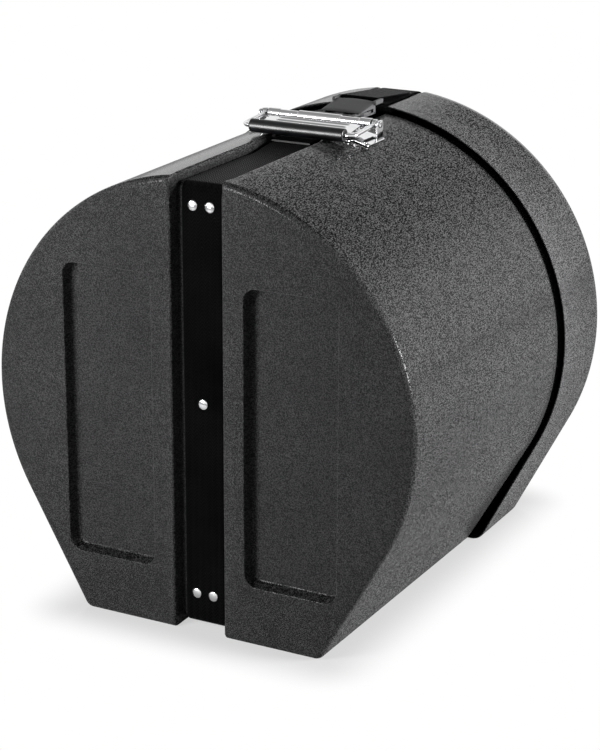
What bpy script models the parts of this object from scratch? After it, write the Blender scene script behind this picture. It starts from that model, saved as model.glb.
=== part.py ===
"""Bass drum case: a round moulded shell on a flat foot, with a lid that pulls off.

A strap runs round the case in a channel, held by rivets, and is closed over the
seam by a side release buckle. A chrome handle with a rubber grip sits on top.
Metres, +Z up, front face towards -Y, lid towards +Y. The origin is on the floor
at the centre of the footprint.
"""

import math

import bmesh
import bpy
from mathutils import Matrix, Vector

# Case body
DEPTH = 0.5547
BASE_RADIUS = 0.2700
FOOT_CUT = 0.0005
FRONT_DRAFT = 0.0037
BASE_FOOT_HALF = 0.1580
BASE_FOOT_FILLET = 0.0120
FRONT_FILLET = 0.0090
WALL = 0.0045
SHOULDER_TO_SEAM = 0.0098
SHOULDER_FILLET = 0.0050
NECK_STEP = 0.0030
NECK_LENGTH = 0.0500
LID_DEPTH = 0.1469
LID_STEP = 0.0067
LID_FOOT_STEP = 0.0150
LID_FOOT_FILLET = 0.0180
LID_BACK_FILLET = 0.0450
LIP_EDGE = 0.0014
LIP_CHAMFER = 0.0070
FIT = 0.0003
OVERRUN = 0.0040

# Strap
STRAP_HALF = 0.0250
STRAP_THICK = 0.0020
STRAP_BEND = 0.0100
STRAP_END_TO_SHOULDER = 0.0020
STRAP_BEND_STEPS = 5
FOLD_BEHIND_GRIP = 0.0170
FOLD_RISE_LENGTH = 0.0400
FOLD_RISE = 0.0062
LID_FOLD_TO_FILLET = 0.0177
LID_STRAP_END_TO_SEAM = 0.0122
LID_STRAP_LEAVE_TO_SEAM = 0.0222
MITRE_LIMIT_SHARE = 0.5

# Strap channel
CHANNEL_SIDE_GAP = 0.0070
CHANNEL_FRONT_DEPTH = 0.0160
CHANNEL_TOP_DEPTH = 0.0160
CHANNEL_BOTTOM_DEPTH = 0.0070
CHANNEL_FRONT_ROUND = 0.0030
CHANNEL_TOP_ROUND = 0.0110
LID_CHANNEL_TOP_DEPTH = 0.0040
LID_CHANNEL_BACK_DEPTH = 0.0060
LID_CHANNEL_ROUND = 0.0025
NECK_RELIEF = 0.0010

# Recessed panels
PANEL_TO_CHANNEL = 0.0270
PANEL_PAST_FOOT = 0.0160
PANEL_BOTTOM_Z = 0.0720
PANEL_TO_TOP = 0.1195
PANEL_CORNER = 0.0150
PANEL_DEPTH = 0.0160
PANEL_MOUTH_ROUND = 0.0015
PANEL_DRAFT = 0.0025
PANEL_FLOOR_ROUND = 0.0035
LID_PANEL_DEPTH = 0.0100
LID_PANEL_MOUTH_ROUND = 0.0030
LID_PANEL_INSIDE_FOOT = 0.0230
LID_PANEL_TO_FILLET = 0.0650
LID_PANEL_TO_TOP = 0.1462

# Rivets and washers
RIVET_HEAD_RADIUS = 0.0062
RIVET_HEAD_HEIGHT = 0.0026
RIVET_SHANK_RADIUS = 0.0020
RIVET_TAIL_RADIUS = 0.0036
RIVET_TAIL_HEIGHT = 0.0015
WASHER_RADIUS = 0.0070
WASHER_THICK = 0.0012
HANDLE_WASHER_RADIUS = 0.0050
RIVET_PAIR_HALF = 0.0109
FRONT_RIVET_TO_TOP = 0.0230
FRONT_RIVET_RISE = 0.0045
FRONT_RIVET_TO_BOTTOM = 0.0363
LID_RIVET_TO_FILLET = 0.0312
BOTTOM_RIVET_TO_SHOULDER = 0.0240
RIVET_STEPS = 10

# Handle
PIVOT_TO_SEAM = 0.1148
BARREL_HALF = 0.0680
BARREL_RADIUS = 0.0065
BARREL_SIDE_RADIUS = 0.0054
BARREL_END_RADIUS = 0.0062
BARREL_BORE = 0.0048
BARREL_MID_HALF = 0.0280
BARREL_END_LENGTH = 0.0150
PLATE_THICK = 0.0015
PLATE_FRONT_REACH = 0.0340
PLATE_REAR_REACH = 0.0130
PLATE_TONGUE_REACH = 0.0100
PLATE_SIDE_EDGE = 0.0018
WINDOW_LENGTH = 0.0300
WINDOW_FRONT_EDGE = 0.0060
WINDOW_SIDE_GAP = 0.0005
WINDOW_EAR_GAP = 0.0016
EAR_SIDE_GAP = 0.0022
EAR_THICK = 0.0020
EAR_HALF = 0.0085
EAR_RISE = 0.0046
EAR_CORNER = 0.0045
PIN_RADIUS = 0.0025
PIN_HEAD_RADIUS = 0.0042
PIN_HEAD_THICK = 0.0012
COVER_THICK = 0.0015
COVER_END_GAP = 0.0080
COVER_FRONT_GAP = 0.0025
COVER_DROP = 0.0047
COVER_RIB_HEIGHT = 0.0012
COVER_RIB_WIDTH = 0.0050
COVER_RIB_COUNT = 3
COVER_SLOT_INSET = 0.0040
COVER_SLOT_HALF = 0.0030
GRIP_REACH = 0.0570
GRIP_DROP = 0.0041
GRIP_RADIUS = 0.0080
GRIP_END_GAP = 0.0107
GRIP_EDGE = 0.0015
ROD_RADIUS = 0.0027
ARM_BEND = 0.0080
EYE_RADIUS = 0.0056
EYE_HALF = 0.0024
EYE_SIDE_GAP = 0.0018
SPRING_WIRE = 0.0006
SPRING_RADIUS = 0.0036
SPRING_LENGTH = 0.0240
SPRING_END_GAP = 0.0040
SPRING_TURNS = 6
SPRING_POINTS_PER_TURN = 9
HANDLE_RIVET_INSET = 0.0090
HANDLE_RIVET_TO_CHANNEL = 0.0130

# Buckle
BUCKLE_EDGE = 0.0015
BAR_RADIUS = 0.0015
BAR_RISE = 0.0020
MALE_BAR_TO_PLATE = 0.0150
MALE_RAIL_REACH = 0.0040
MALE_RAIL_THICK = 0.0036
MALE_BLOCK_TO_BAR = 0.0085
MALE_BLOCK_LENGTH = 0.0085
PRONG_RISE = 0.0012
PRONG_THICK = 0.0040
PRONG_PIVOT_INSET = 0.0060
PRONG_BOSS = 0.0020
PRONG_REACH = 0.0395
PRONG_BULGE = 0.0095
TONGUE_HALF = 0.0050
TONGUE_LENGTH = 0.0340
FEMALE_TO_MALE = 0.0070
FEMALE_FLOOR_THICK = 0.0024
FEMALE_ROOF_THICK = 0.0022
FEMALE_ROOF_RISE = 0.0070
FEMALE_ARCH = 0.0016
FEMALE_BLOCK_LENGTH = 0.0065
FEMALE_BAR_TO_BLOCK = 0.0100
FEMALE_BAR_TO_SEAM = 0.0088
FEMALE_BAR_DROP = 0.0025
FEMALE_RAIL_THICK = 0.0044
FEMALE_RAIL_REACH = 0.0040
RAIL_HALF_HEIGHT = 0.0028

# Inside padding
PAD_TO_CHANNEL = 0.0200
PAD_INSIDE_FOOT = 0.0220
PAD_THICK = 0.0120
PAD_FRONT = 0.0300
PAD_TO_SHOULDER = 0.0130
LID_PAD_EDGE_GAP = 0.1067
LID_PAD_THICK = 0.0080
LID_PAD_EDGE = 0.0020

# Facets
ARC_STEPS = 38
FOOT_STEPS = 3
FILLET_STEPS = 3
BACK_STEPS = 6
TUBE_STEPS = 16
PLATE_STEPS = 16

# Case places, worked out
FRONT_Y = -DEPTH / 2
BACK_Y = DEPTH / 2
CENTRE_HEIGHT = BASE_RADIUS - FOOT_CUT
LID_RADIUS = BASE_RADIUS + LID_STEP
LID_FOOT_HALF = BASE_FOOT_HALF + LID_FOOT_STEP
LID_TOP = CENTRE_HEIGHT + LID_RADIUS
BASE_TOP = CENTRE_HEIGHT + BASE_RADIUS
SEAM_FROM_FRONT = DEPTH - LID_DEPTH
SHOULDER_FROM_FRONT = SEAM_FROM_FRONT - SHOULDER_TO_SEAM
NECK_BOTTOM = WALL + FIT
NECK_END = SEAM_FROM_FRONT + NECK_LENGTH
CHANNEL_HALF = STRAP_HALF + CHANNEL_SIDE_GAP
CHANNEL_FLOOR_TOP = BASE_TOP - CHANNEL_TOP_DEPTH
PANEL_INNER_X = CHANNEL_HALF + PANEL_TO_CHANNEL
PANEL_OUTER_X = BASE_FOOT_HALF + PANEL_PAST_FOOT
PANEL_TOP_Z = BASE_TOP - PANEL_TO_TOP
LID_PANEL_OUTER_X = LID_FOOT_HALF - LID_PANEL_INSIDE_FOOT
LID_PANEL_BOTTOM_Z = LID_BACK_FILLET + LID_PANEL_TO_FILLET
LID_PANEL_TOP_Z = LID_TOP - LID_PANEL_TO_TOP
HOLE_RADIUS = RIVET_SHANK_RADIUS + FIT


def from_front(distance):
    """The Y place at a distance behind the front face."""
    return FRONT_Y + distance


def shell_radius(distance):
    """The base's radius at a distance behind the front face, with its draft."""
    share = min(distance / SHOULDER_FROM_FRONT, 1)
    return BASE_RADIUS - FRONT_DRAFT * (1 - share)


# Handle places, worked out
PIVOT_FROM_FRONT = SEAM_FROM_FRONT - PIVOT_TO_SEAM
PLATE_FRONT = PIVOT_FROM_FRONT - PLATE_FRONT_REACH
PLATE_REAR = PIVOT_FROM_FRONT + PLATE_REAR_REACH
PLATE_TONGUE_FRONT = PLATE_FRONT - PLATE_TONGUE_REACH
WINDOW_FRONT = PLATE_FRONT + WINDOW_FRONT_EDGE
GRIP_FROM_FRONT = PIVOT_FROM_FRONT - GRIP_REACH
COVER_FRONT = PLATE_TONGUE_FRONT + COVER_FRONT_GAP
COVER_HALF = BARREL_HALF - COVER_END_GAP
COVER_SLOT_X = COVER_HALF - COVER_SLOT_INSET
BARREL_SIDE_END = BARREL_HALF - BARREL_END_LENGTH
ARM_X = BARREL_HALF + EYE_SIDE_GAP + EYE_HALF
EAR_INNER_X = ARM_X + EYE_HALF + EAR_SIDE_GAP
PLATE_HALF = EAR_INNER_X + EAR_THICK + PLATE_SIDE_EDGE
GRIP_HALF = ARM_X - GRIP_END_GAP
SPRING_END_X = BARREL_HALF - SPRING_END_GAP
SPRING_START_X = SPRING_END_X - SPRING_LENGTH
PIVOT_Y = from_front(PIVOT_FROM_FRONT)
GRIP_Y = from_front(GRIP_FROM_FRONT)
PLATE_SEAT = shell_radius(PLATE_REAR) + FIT
PIVOT_Z = CENTRE_HEIGHT + PLATE_SEAT + PLATE_THICK + FIT + BARREL_RADIUS
GRIP_HEIGHT = PIVOT_Z - GRIP_DROP
COVER_FRONT_Z = PIVOT_Z - COVER_DROP

# Buckle places, worked out
BUCKLE_HALF = STRAP_HALF + BUCKLE_EDGE
RAIL_INNER = STRAP_HALF + FIT * 2
MALE_BAR_FROM_FRONT = PLATE_REAR + MALE_BAR_TO_PLATE
MALE_BAR_Z = BASE_TOP + BAR_RISE
MALE_BLOCK_FRONT = MALE_BAR_FROM_FRONT + MALE_BLOCK_TO_BAR
MALE_BLOCK_REAR = MALE_BLOCK_FRONT + MALE_BLOCK_LENGTH
MALE_LOW_Z = BASE_TOP + FIT
PRONG_LOW_Z = MALE_LOW_Z + PRONG_RISE
PRONG_TOP_Z = PRONG_LOW_Z + PRONG_THICK
PRONG_PIVOT_X = BUCKLE_HALF - PRONG_PIVOT_INSET
PRONG_PIVOT_FROM_FRONT = MALE_BLOCK_REAR + PRONG_BOSS + FIT * 2
FEMALE_FRONT = MALE_BLOCK_REAR + FEMALE_TO_MALE
FEMALE_BAR_FROM_FRONT = SEAM_FROM_FRONT - FEMALE_BAR_TO_SEAM
FEMALE_BLOCK_REAR = FEMALE_BAR_FROM_FRONT - FEMALE_BAR_TO_BLOCK
FEMALE_BLOCK_FRONT = FEMALE_BLOCK_REAR - FEMALE_BLOCK_LENGTH
FEMALE_ROOF_FRONT_Z = PRONG_TOP_Z + FIT + FEMALE_ROOF_THICK
FEMALE_ROOF_REAR_Z = FEMALE_ROOF_FRONT_Z + FEMALE_ROOF_RISE
FEMALE_BAR_Z = FEMALE_ROOF_REAR_Z - FEMALE_BAR_DROP

# Strap places, worked out
STRAP_LIFT = FIT + STRAP_THICK / 2
LAYER_STEP = STRAP_THICK + FIT
LOOP_RADIUS = BAR_RADIUS + FIT + STRAP_THICK / 2
MALE_LOOP = (math.radians(-70), math.radians(123))
FEMALE_LOOP = (math.radians(85), math.radians(260))
STRAP_REAR_END = SHOULDER_FROM_FRONT - STRAP_END_TO_SHOULDER
PLATE_AT_STRAP = CENTRE_HEIGHT + math.sqrt(PLATE_SEAT ** 2 - STRAP_HALF ** 2)
UPPER_UNDER_PLATE = PLATE_AT_STRAP - FIT - STRAP_THICK / 2
UNDER_GRIP = GRIP_HEIGHT - GRIP_RADIUS - FIT * 2 - STRAP_THICK / 2
UNDER_GRIP_REAR = GRIP_FROM_FRONT + GRIP_RADIUS
FOLD_END = GRIP_FROM_FRONT - FOLD_BEHIND_GRIP
FOLD_START_LOW = FOLD_END - FOLD_RISE_LENGTH
FOLD_LOW_HEIGHT = CHANNEL_FLOOR_TOP + FOLD_RISE
LID_FOLD_END = DEPTH - LID_BACK_FILLET - LID_FOLD_TO_FILLET
LID_STRAP_END = SEAM_FROM_FRONT + LID_STRAP_END_TO_SEAM
LID_STRAP_LEAVE = SEAM_FROM_FRONT + LID_STRAP_LEAVE_TO_SEAM

for old in list(bpy.data.objects):
    bpy.data.objects.remove(old)


def make_collection(name):
    made = bpy.data.collections.new(name)
    bpy.context.scene.collection.children.link(made)
    return made


PARTS = make_collection("drum_case")
CUTTERS = make_collection("cutters")


def make_material(name, colour, roughness, metallic=0.0):
    made = bpy.data.materials.new(name)
    made.use_nodes = True
    shader = made.node_tree.nodes["Principled BSDF"]
    shader.inputs["Base Color"].default_value = (*colour, 1)
    shader.inputs["Roughness"].default_value = roughness
    shader.inputs["Metallic"].default_value = metallic
    made.diffuse_color = (*colour, 1)
    return made


SHELL_PLASTIC = make_material("grained_polyethylene", (0.045, 0.045, 0.047), 0.6)
LID_PLASTIC = make_material("lid_polyethylene", (0.045, 0.045, 0.047), 0.6)
WEBBING = make_material("black_webbing", (0.012, 0.012, 0.013), 0.85)
NICKEL = make_material("rivet_nickel", (0.75, 0.75, 0.76), 0.3, 1.0)
CHROME = make_material("chrome_plate", (0.80, 0.80, 0.81), 0.12, 1.0)
RUBBER = make_material("grip_rubber", (0.02, 0.02, 0.022), 0.35)
ACETAL = make_material("buckle_acetal", (0.06, 0.06, 0.062), 0.45)
STEEL = make_material("spring_steel", (0.45, 0.45, 0.46), 0.35, 1.0)
FOAM = make_material("charcoal_foam", (0.03, 0.03, 0.032), 0.95)


def add_object(name, mesh, material=None):
    """Puts a mesh in the parts, or without a material in the cutters."""
    made = bpy.data.objects.new(name, mesh)
    if material:
        PARTS.objects.link(made)
        mesh.materials.clear()
        mesh.materials.append(material)
    else:
        CUTTERS.objects.link(made)
        made.hide_render = True
        made.display_type = "WIRE"
    return made


def from_bmesh(name, work, material=None, smooth_angle=None):
    bmesh.ops.recalc_face_normals(work, faces=work.faces)
    mesh = bpy.data.meshes.new(name)
    work.to_mesh(mesh)
    work.free()
    if smooth_angle:
        mesh.shade_smooth()
        mesh.set_sharp_from_angle(angle=smooth_angle)
    return add_object(name, mesh, material)


def loft(name, rings, material=None, smooth_angle=None):
    """A closed solid through rings of equal count, with a face over each end."""
    work = bmesh.new()
    rows = [[work.verts.new(point) for point in ring] for ring in rings]
    for low, high in zip(rows, rows[1:]):
        for index, corner in enumerate(low):
            after = (index + 1) % len(low)
            work.faces.new((corner, low[after], high[after], high[index]))
    work.faces.new(rows[0])
    work.faces.new(rows[-1])
    return from_bmesh(name, work, material, smooth_angle)


def box(name, low, high, material=None):
    """A box between two corners."""
    work = bmesh.new()
    size = Vector(high) - Vector(low)
    middle = (Vector(high) + Vector(low)) / 2
    place = Matrix.Translation(middle) @ Matrix.Diagonal((*size, 1))
    bmesh.ops.create_cube(work, size=1, matrix=place)
    return from_bmesh(name, work, material)


def cylinder(name, start, end, radius, material=None, steps=TUBE_STEPS):
    """A cylinder from one point to another."""
    work = bmesh.new()
    span = Vector(end) - Vector(start)
    turn = span.to_track_quat("Z", "X").to_matrix().to_4x4()
    place = Matrix.Translation((Vector(start) + Vector(end)) / 2) @ turn
    bmesh.ops.create_cone(
        work, cap_ends=True, segments=steps, radius1=radius, radius2=radius,
        depth=span.length, matrix=place,
    )
    return from_bmesh(name, work, material, math.radians(40))


def combine(target, other, operation="DIFFERENCE"):
    """Adds a Boolean that cuts the other object from the target, or joins it."""
    step = target.modifiers.new(other.name, "BOOLEAN")
    step.operation = operation
    step.solver = "EXACT"
    step.object = other
    return target


def arc(centre, radius, start, end, steps):
    """Points on an arc from one angle to another, both ends included."""
    points = []
    for index in range(steps + 1):
        angle = start + (end - start) * index / steps
        points.append((centre[0] + radius * math.cos(angle),
                       centre[1] + radius * math.sin(angle)))
    return points


def side_tilt(radius, foot_half):
    """The angle at which the slanted side touches the round, below level."""
    reach = math.hypot(foot_half, CENTRE_HEIGHT)
    return math.atan2(-CENTRE_HEIGHT, foot_half) + math.acos(radius / reach)


BASE_TILT = side_tilt(BASE_RADIUS, BASE_FOOT_HALF)
LID_TILT = side_tilt(LID_RADIUS, LID_FOOT_HALF)


def outline(radius, tilt, bottom, fillet):
    """The case's outline: a round with slanted sides down to a flat foot."""
    corner_z = bottom + fillet - CENTRE_HEIGHT
    corner_x = (radius - fillet - math.sin(tilt) * corner_z) / math.cos(tilt)
    corner = (corner_x, bottom + fillet)
    right = arc(corner, fillet, -math.pi / 2, tilt, FOOT_STEPS)
    top = arc((0, CENTRE_HEIGHT), radius, tilt, math.pi - tilt, ARC_STEPS)
    left = [(-x, z) for x, z in reversed(right)]
    return right + top + left


def case_ring(distance, radius, tilt, bottom, fillet):
    y = from_front(distance)
    return [(x, y, z) for x, z in outline(radius, tilt, bottom, fillet)]


def base_ring(distance, inset, bottom):
    fillet = max(BASE_FOOT_FILLET - inset, LIP_EDGE)
    return case_ring(distance, shell_radius(distance) - inset, BASE_TILT, bottom, fillet)


def base_outer():
    """The base's outer skin, from the rounded front edge to the neck's end."""
    rings = []
    for index in range(FILLET_STEPS + 1):
        angle = math.pi / 2 * index / FILLET_STEPS
        inset = FRONT_FILLET * (1 - math.sin(angle))
        rings.append(base_ring(FRONT_FILLET * (1 - math.cos(angle)), inset, inset))
    full = math.acos(1 - NECK_STEP / SHOULDER_FILLET)
    for index in range(FILLET_STEPS + 1):
        angle = full * index / FILLET_STEPS
        inset = SHOULDER_FILLET * (1 - math.cos(angle))
        place = SHOULDER_FROM_FRONT + SHOULDER_FILLET * math.sin(angle)
        rings.append(base_ring(place, inset, NECK_BOTTOM * inset / NECK_STEP))
    rings.append(base_ring(NECK_END, NECK_STEP, NECK_BOTTOM))
    return rings


def base_inner():
    """The base's hollow, which the wall thickness sets off from its skin."""
    corner = FRONT_FILLET - WALL
    neck = NECK_STEP + WALL
    step = SHOULDER_FROM_FRONT - WALL
    return [
        base_ring(WALL, WALL + corner, WALL + corner),
        base_ring(WALL + corner, WALL, WALL),
        base_ring(step - corner, WALL, WALL),
        base_ring(step, neck, NECK_BOTTOM + WALL),
        base_ring(NECK_END + OVERRUN, neck, NECK_BOTTOM + WALL),
    ]


def lid_ring(distance, inset, bottom):
    fillet = max(LID_FOOT_FILLET - inset, LIP_EDGE)
    return case_ring(distance, LID_RADIUS - inset, LID_TILT, bottom, fillet)


def lid_rings(wall):
    """The lid's back edge as rings, on its skin or one wall inside it."""
    rings = []
    radius = LID_BACK_FILLET - wall
    centre = DEPTH - LID_BACK_FILLET
    for index in range(BACK_STEPS + 1):
        angle = math.pi / 2 * index / BACK_STEPS
        inset = wall + radius * (1 - math.cos(angle))
        rings.append(lid_ring(centre + radius * math.sin(angle), inset, inset))
    return rings


def lid_outer():
    return [lid_ring(SEAM_FROM_FRONT, 0, 0)] + lid_rings(0)


def lid_inner():
    return [
        lid_ring(SEAM_FROM_FRONT - OVERRUN, LIP_EDGE, LIP_EDGE),
        lid_ring(SEAM_FROM_FRONT + LIP_EDGE, LIP_EDGE, LIP_EDGE),
        lid_ring(SEAM_FROM_FRONT + LIP_CHAMFER, WALL, WALL),
    ] + lid_rings(WALL)


def rounded_rectangle(x_low, x_high, z_low, z_high, corner):
    """An outline with round corners, counted alike at every size."""
    points = []
    for x, z, start in (
        (x_high - corner, z_low + corner, -math.pi / 2),
        (x_high - corner, z_high - corner, 0),
        (x_low + corner, z_high - corner, math.pi / 2),
        (x_low + corner, z_low + corner, math.pi),
    ):
        points += arc((x, z), corner, start, start + math.pi / 2, FILLET_STEPS)
    return points


def panel_cutter(name, face_y, inward, limits, depth, mouth_round, grow=0.0):
    """A drafted recess with a rounded mouth and floor, grown by a wall if asked."""
    x_low, x_high, z_low, z_high = limits
    steps = (
        (-mouth_round, -OVERRUN),
        (-mouth_round / 3, mouth_round / 3),
        (0, mouth_round),
        (PANEL_DRAFT, depth - PANEL_FLOOR_ROUND),
        (PANEL_DRAFT + PANEL_FLOOR_ROUND / 3, depth - PANEL_FLOOR_ROUND / 3),
        (PANEL_DRAFT + PANEL_FLOOR_ROUND, depth),
    )
    rings = []
    for inset, place in steps:
        reach = place + grow if place > 0 else place
        inset -= grow
        section = rounded_rectangle(
            x_low + inset, x_high - inset, z_low + inset, z_high - inset,
            PANEL_CORNER - inset,
        )
        y = face_y + inward * reach
        rings.append([(x, y, z) for x, z in section])
    return loft(name, rings)


def channel_section(depth, edge_drop, edge_round, grow=0.0):
    """Half width against depth: a flared mouth, a wall and a floor."""
    half = CHANNEL_HALF + grow
    mouth = half + edge_round
    side = [(mouth, -OVERRUN), (mouth, edge_drop - FIT)]
    flare = min(edge_round, depth - edge_drop)
    for index in range(1, FILLET_STEPS + 1):
        angle = math.pi / 2 * index / FILLET_STEPS
        side.append((mouth - edge_round * math.sin(angle),
                     edge_drop + flare * (1 - math.cos(angle))))
    side.append((half, depth + grow))
    return side + [(-x, place) for x, place in reversed(side)]


def corner_exit(centre, out, corner):
    """How far a ray runs from a centre to the skin round the front edge's fillet."""
    spot = Vector((corner[0] - centre[0], corner[1] - centre[1]))
    along = spot.dot(out)
    inside = FRONT_FILLET ** 2 - (spot.length_squared - along ** 2)
    reach = along + math.sqrt(inside) if inside > 0 else math.inf
    hit = Vector(centre) + out * reach if inside > 0 else None
    rise = math.copysign(1, corner[1] - centre[1])
    if hit is not None and hit.x <= corner[0] and (hit.y - corner[1]) * rise >= 0:
        return reach
    to_front = centre[0] / -out.x if out.x < 0 else math.inf
    limit = corner[1] + FRONT_FILLET * rise - centre[1]
    to_level = limit / out.y if out.y * rise > 0 else math.inf
    return min(to_front, to_level)


def base_path(rear):
    """Floor places, outward directions, depths and rounds of the base's channel."""
    turn = STRAP_BEND - STRAP_THICK / 2 - FIT
    front = CHANNEL_FRONT_DEPTH
    low = CHANNEL_BOTTOM_DEPTH
    narrow = CHANNEL_FRONT_ROUND
    wide = CHANNEL_TOP_ROUND
    stations = [(rear, low, 0, -1, low, narrow)]
    centre = (front + turn, low + turn)
    corner = (FRONT_FILLET, FRONT_FILLET)
    for index in range(STRAP_BEND_STEPS + 1):
        angle = math.pi / 2 * index / STRAP_BEND_STEPS
        out = Vector((-math.sin(angle), -math.cos(angle)))
        depth = corner_exit(centre, out, corner) - turn
        spot = Vector(centre) + out * turn
        stations.append((spot.x, spot.y, out.x, out.y, depth, narrow))
    centre = (front + turn, CHANNEL_FLOOR_TOP - turn)
    corner = (FRONT_FILLET, CENTRE_HEIGHT + shell_radius(front + turn) - FRONT_FILLET)
    for index in range(STRAP_BEND_STEPS + 1):
        share = index / STRAP_BEND_STEPS
        angle = math.pi / 2 * share
        out = Vector((-math.cos(angle), math.sin(angle)))
        depth = corner_exit(centre, out, corner) - turn
        spot = Vector(centre) + out * turn
        stations.append((spot.x, spot.y, out.x, out.y, depth, narrow + (wide - narrow) * share))
    for place in (SHOULDER_FROM_FRONT, rear):
        depth = CENTRE_HEIGHT + shell_radius(place) - CHANNEL_FLOOR_TOP
        stations.append((place, CHANNEL_FLOOR_TOP, 0, 1, depth, wide))
    return stations


def base_channel_cutter(tag, grow):
    """A channel swept along the base's underside, front and top."""
    rings = []
    drop = BASE_RADIUS - math.sqrt(BASE_RADIUS ** 2 - CHANNEL_HALF ** 2)
    for place, height, out, up, depth, edge_round in base_path(NECK_END + OVERRUN):
        section = channel_section(depth, drop * max(up, 0), edge_round, grow)
        rings.append([
            (x, from_front(place + out * (depth - into)), height + up * (depth - into))
            for x, into in section
        ])
    return loft(f"channel_base{tag}", rings)


def lid_path(inset_top, inset_back, start, steps=BACK_STEPS + 1):
    """Places and outward directions round the lid's middle, from top to bottom."""
    stations = [(start, LID_TOP, 0, 1, inset_top)]
    centre = DEPTH - LID_BACK_FILLET
    for index in range(steps + 1):
        angle = math.pi / 2 * (1 - index / steps)
        out, up = math.cos(angle), math.sin(angle)
        inset = inset_top + (inset_back - inset_top) * index / steps
        stations.append((
            centre + LID_BACK_FILLET * out,
            LID_TOP - LID_BACK_FILLET + LID_BACK_FILLET * up, out, up, inset,
        ))
    for index in range(steps + 1):
        angle = math.pi / 2 * index / steps
        out, down = math.cos(angle), math.sin(angle)
        inset = inset_back + (inset_top - inset_back) * index / steps
        stations.append((
            centre + LID_BACK_FILLET * out,
            LID_BACK_FILLET - LID_BACK_FILLET * down, out, -down, inset,
        ))
    stations.append((start, 0, 0, -1, inset_top))
    return stations


def lid_channel_cutter(tag, grow):
    """A channel swept over the lid's top, back and underside."""
    rings = []
    start = SEAM_FROM_FRONT - OVERRUN * 2
    for place, height, out, up, depth in lid_path(
        LID_CHANNEL_TOP_DEPTH, LID_CHANNEL_BACK_DEPTH, start
    ):
        drop = LID_RADIUS - math.sqrt(LID_RADIUS ** 2 - CHANNEL_HALF ** 2) if up > 0 else 0
        section = channel_section(depth, drop * max(up, 0), LID_CHANNEL_ROUND, grow)
        rings.append([
            (x, from_front(place - out * into), height - up * into)
            for x, into in section
        ])
    return loft(f"channel_lid{tag}", rings)


def build_base_shell():
    """The base: a moulded cup with two front panels, a channel and a neck."""
    shell = loft("base_shell", base_outer(), SHELL_PLASTIC, math.radians(35))
    hollow = loft("base_hollow", base_inner())
    for side in (-1, 1):
        edges = sorted((side * PANEL_INNER_X, side * PANEL_OUTER_X))
        limits = (*edges, PANEL_BOTTOM_Z, PANEL_TOP_Z)
        name = f"panel_{'left' if side < 0 else 'right'}"
        form = (limits, PANEL_DEPTH, PANEL_MOUTH_ROUND)
        combine(shell, panel_cutter(name, FRONT_Y, 1, *form))
        combine(hollow, panel_cutter(f"{name}_wall", FRONT_Y, 1, *form, WALL))
    combine(shell, base_channel_cutter("", 0))
    combine(hollow, base_channel_cutter("_wall", WALL))
    relief_half = CHANNEL_HALF + WALL + LID_CHANNEL_ROUND + NECK_RELIEF
    relief_top = LID_CHANNEL_TOP_DEPTH + WALL + NECK_RELIEF
    relief_front = from_front(SHOULDER_FROM_FRONT + SHOULDER_FILLET)
    rear = from_front(NECK_END + OVERRUN * 2)
    combine(hollow, box(
        "relief_wall",
        (-relief_half - WALL, relief_front - WALL, 0),
        (relief_half + WALL, rear, relief_top + WALL),
    ))
    combine(shell, box(
        "relief",
        (-relief_half, relief_front, -OVERRUN),
        (relief_half, rear, relief_top),
    ))
    combine(shell, hollow)
    return shell


def build_lid_shell():
    """The lid: a cap with a full round back edge, two panels and a channel."""
    shell = loft("lid_shell", lid_outer(), LID_PLASTIC, math.radians(35))
    hollow = loft("lid_hollow", lid_inner())
    for side in (-1, 1):
        edges = sorted((side * PANEL_INNER_X, side * LID_PANEL_OUTER_X))
        limits = (*edges, LID_PANEL_BOTTOM_Z, LID_PANEL_TOP_Z)
        name = f"lid_panel_{'left' if side < 0 else 'right'}"
        form = (limits, LID_PANEL_DEPTH, LID_PANEL_MOUTH_ROUND)
        combine(shell, panel_cutter(name, BACK_Y, -1, *form))
        combine(hollow, panel_cutter(f"{name}_wall", BACK_Y, -1, *form, WALL))
    combine(shell, lid_channel_cutter("", 0))
    combine(hollow, lid_channel_cutter("_wall", WALL))
    combine(shell, hollow)
    return shell


def ribbon(name, path, material=WEBBING):
    """A flat strap along a path of (distance from front, height) points."""
    rings = []
    for index, (place, height) in enumerate(path):
        before = Vector(path[max(index - 1, 0)])
        after = Vector(path[min(index + 1, len(path) - 1)])
        here = Vector((place, height))
        into = (here - before).normalized() if index else (after - here).normalized()
        onward = (after - here).normalized() if index < len(path) - 1 else into
        bisector = (into + onward).normalized()
        across = Vector((-bisector.y, bisector.x))
        half = STRAP_THICK / 2 / max(across.dot(Vector((-into.y, into.x))), MITRE_LIMIT_SHARE)
        low = here - across * half
        high = here + across * half
        rings.append([
            (-STRAP_HALF, from_front(low.x), low.y),
            (STRAP_HALF, from_front(low.x), low.y),
            (STRAP_HALF, from_front(high.x), high.y),
            (-STRAP_HALF, from_front(high.x), high.y),
        ])
    return loft(name, rings, material)


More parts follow.
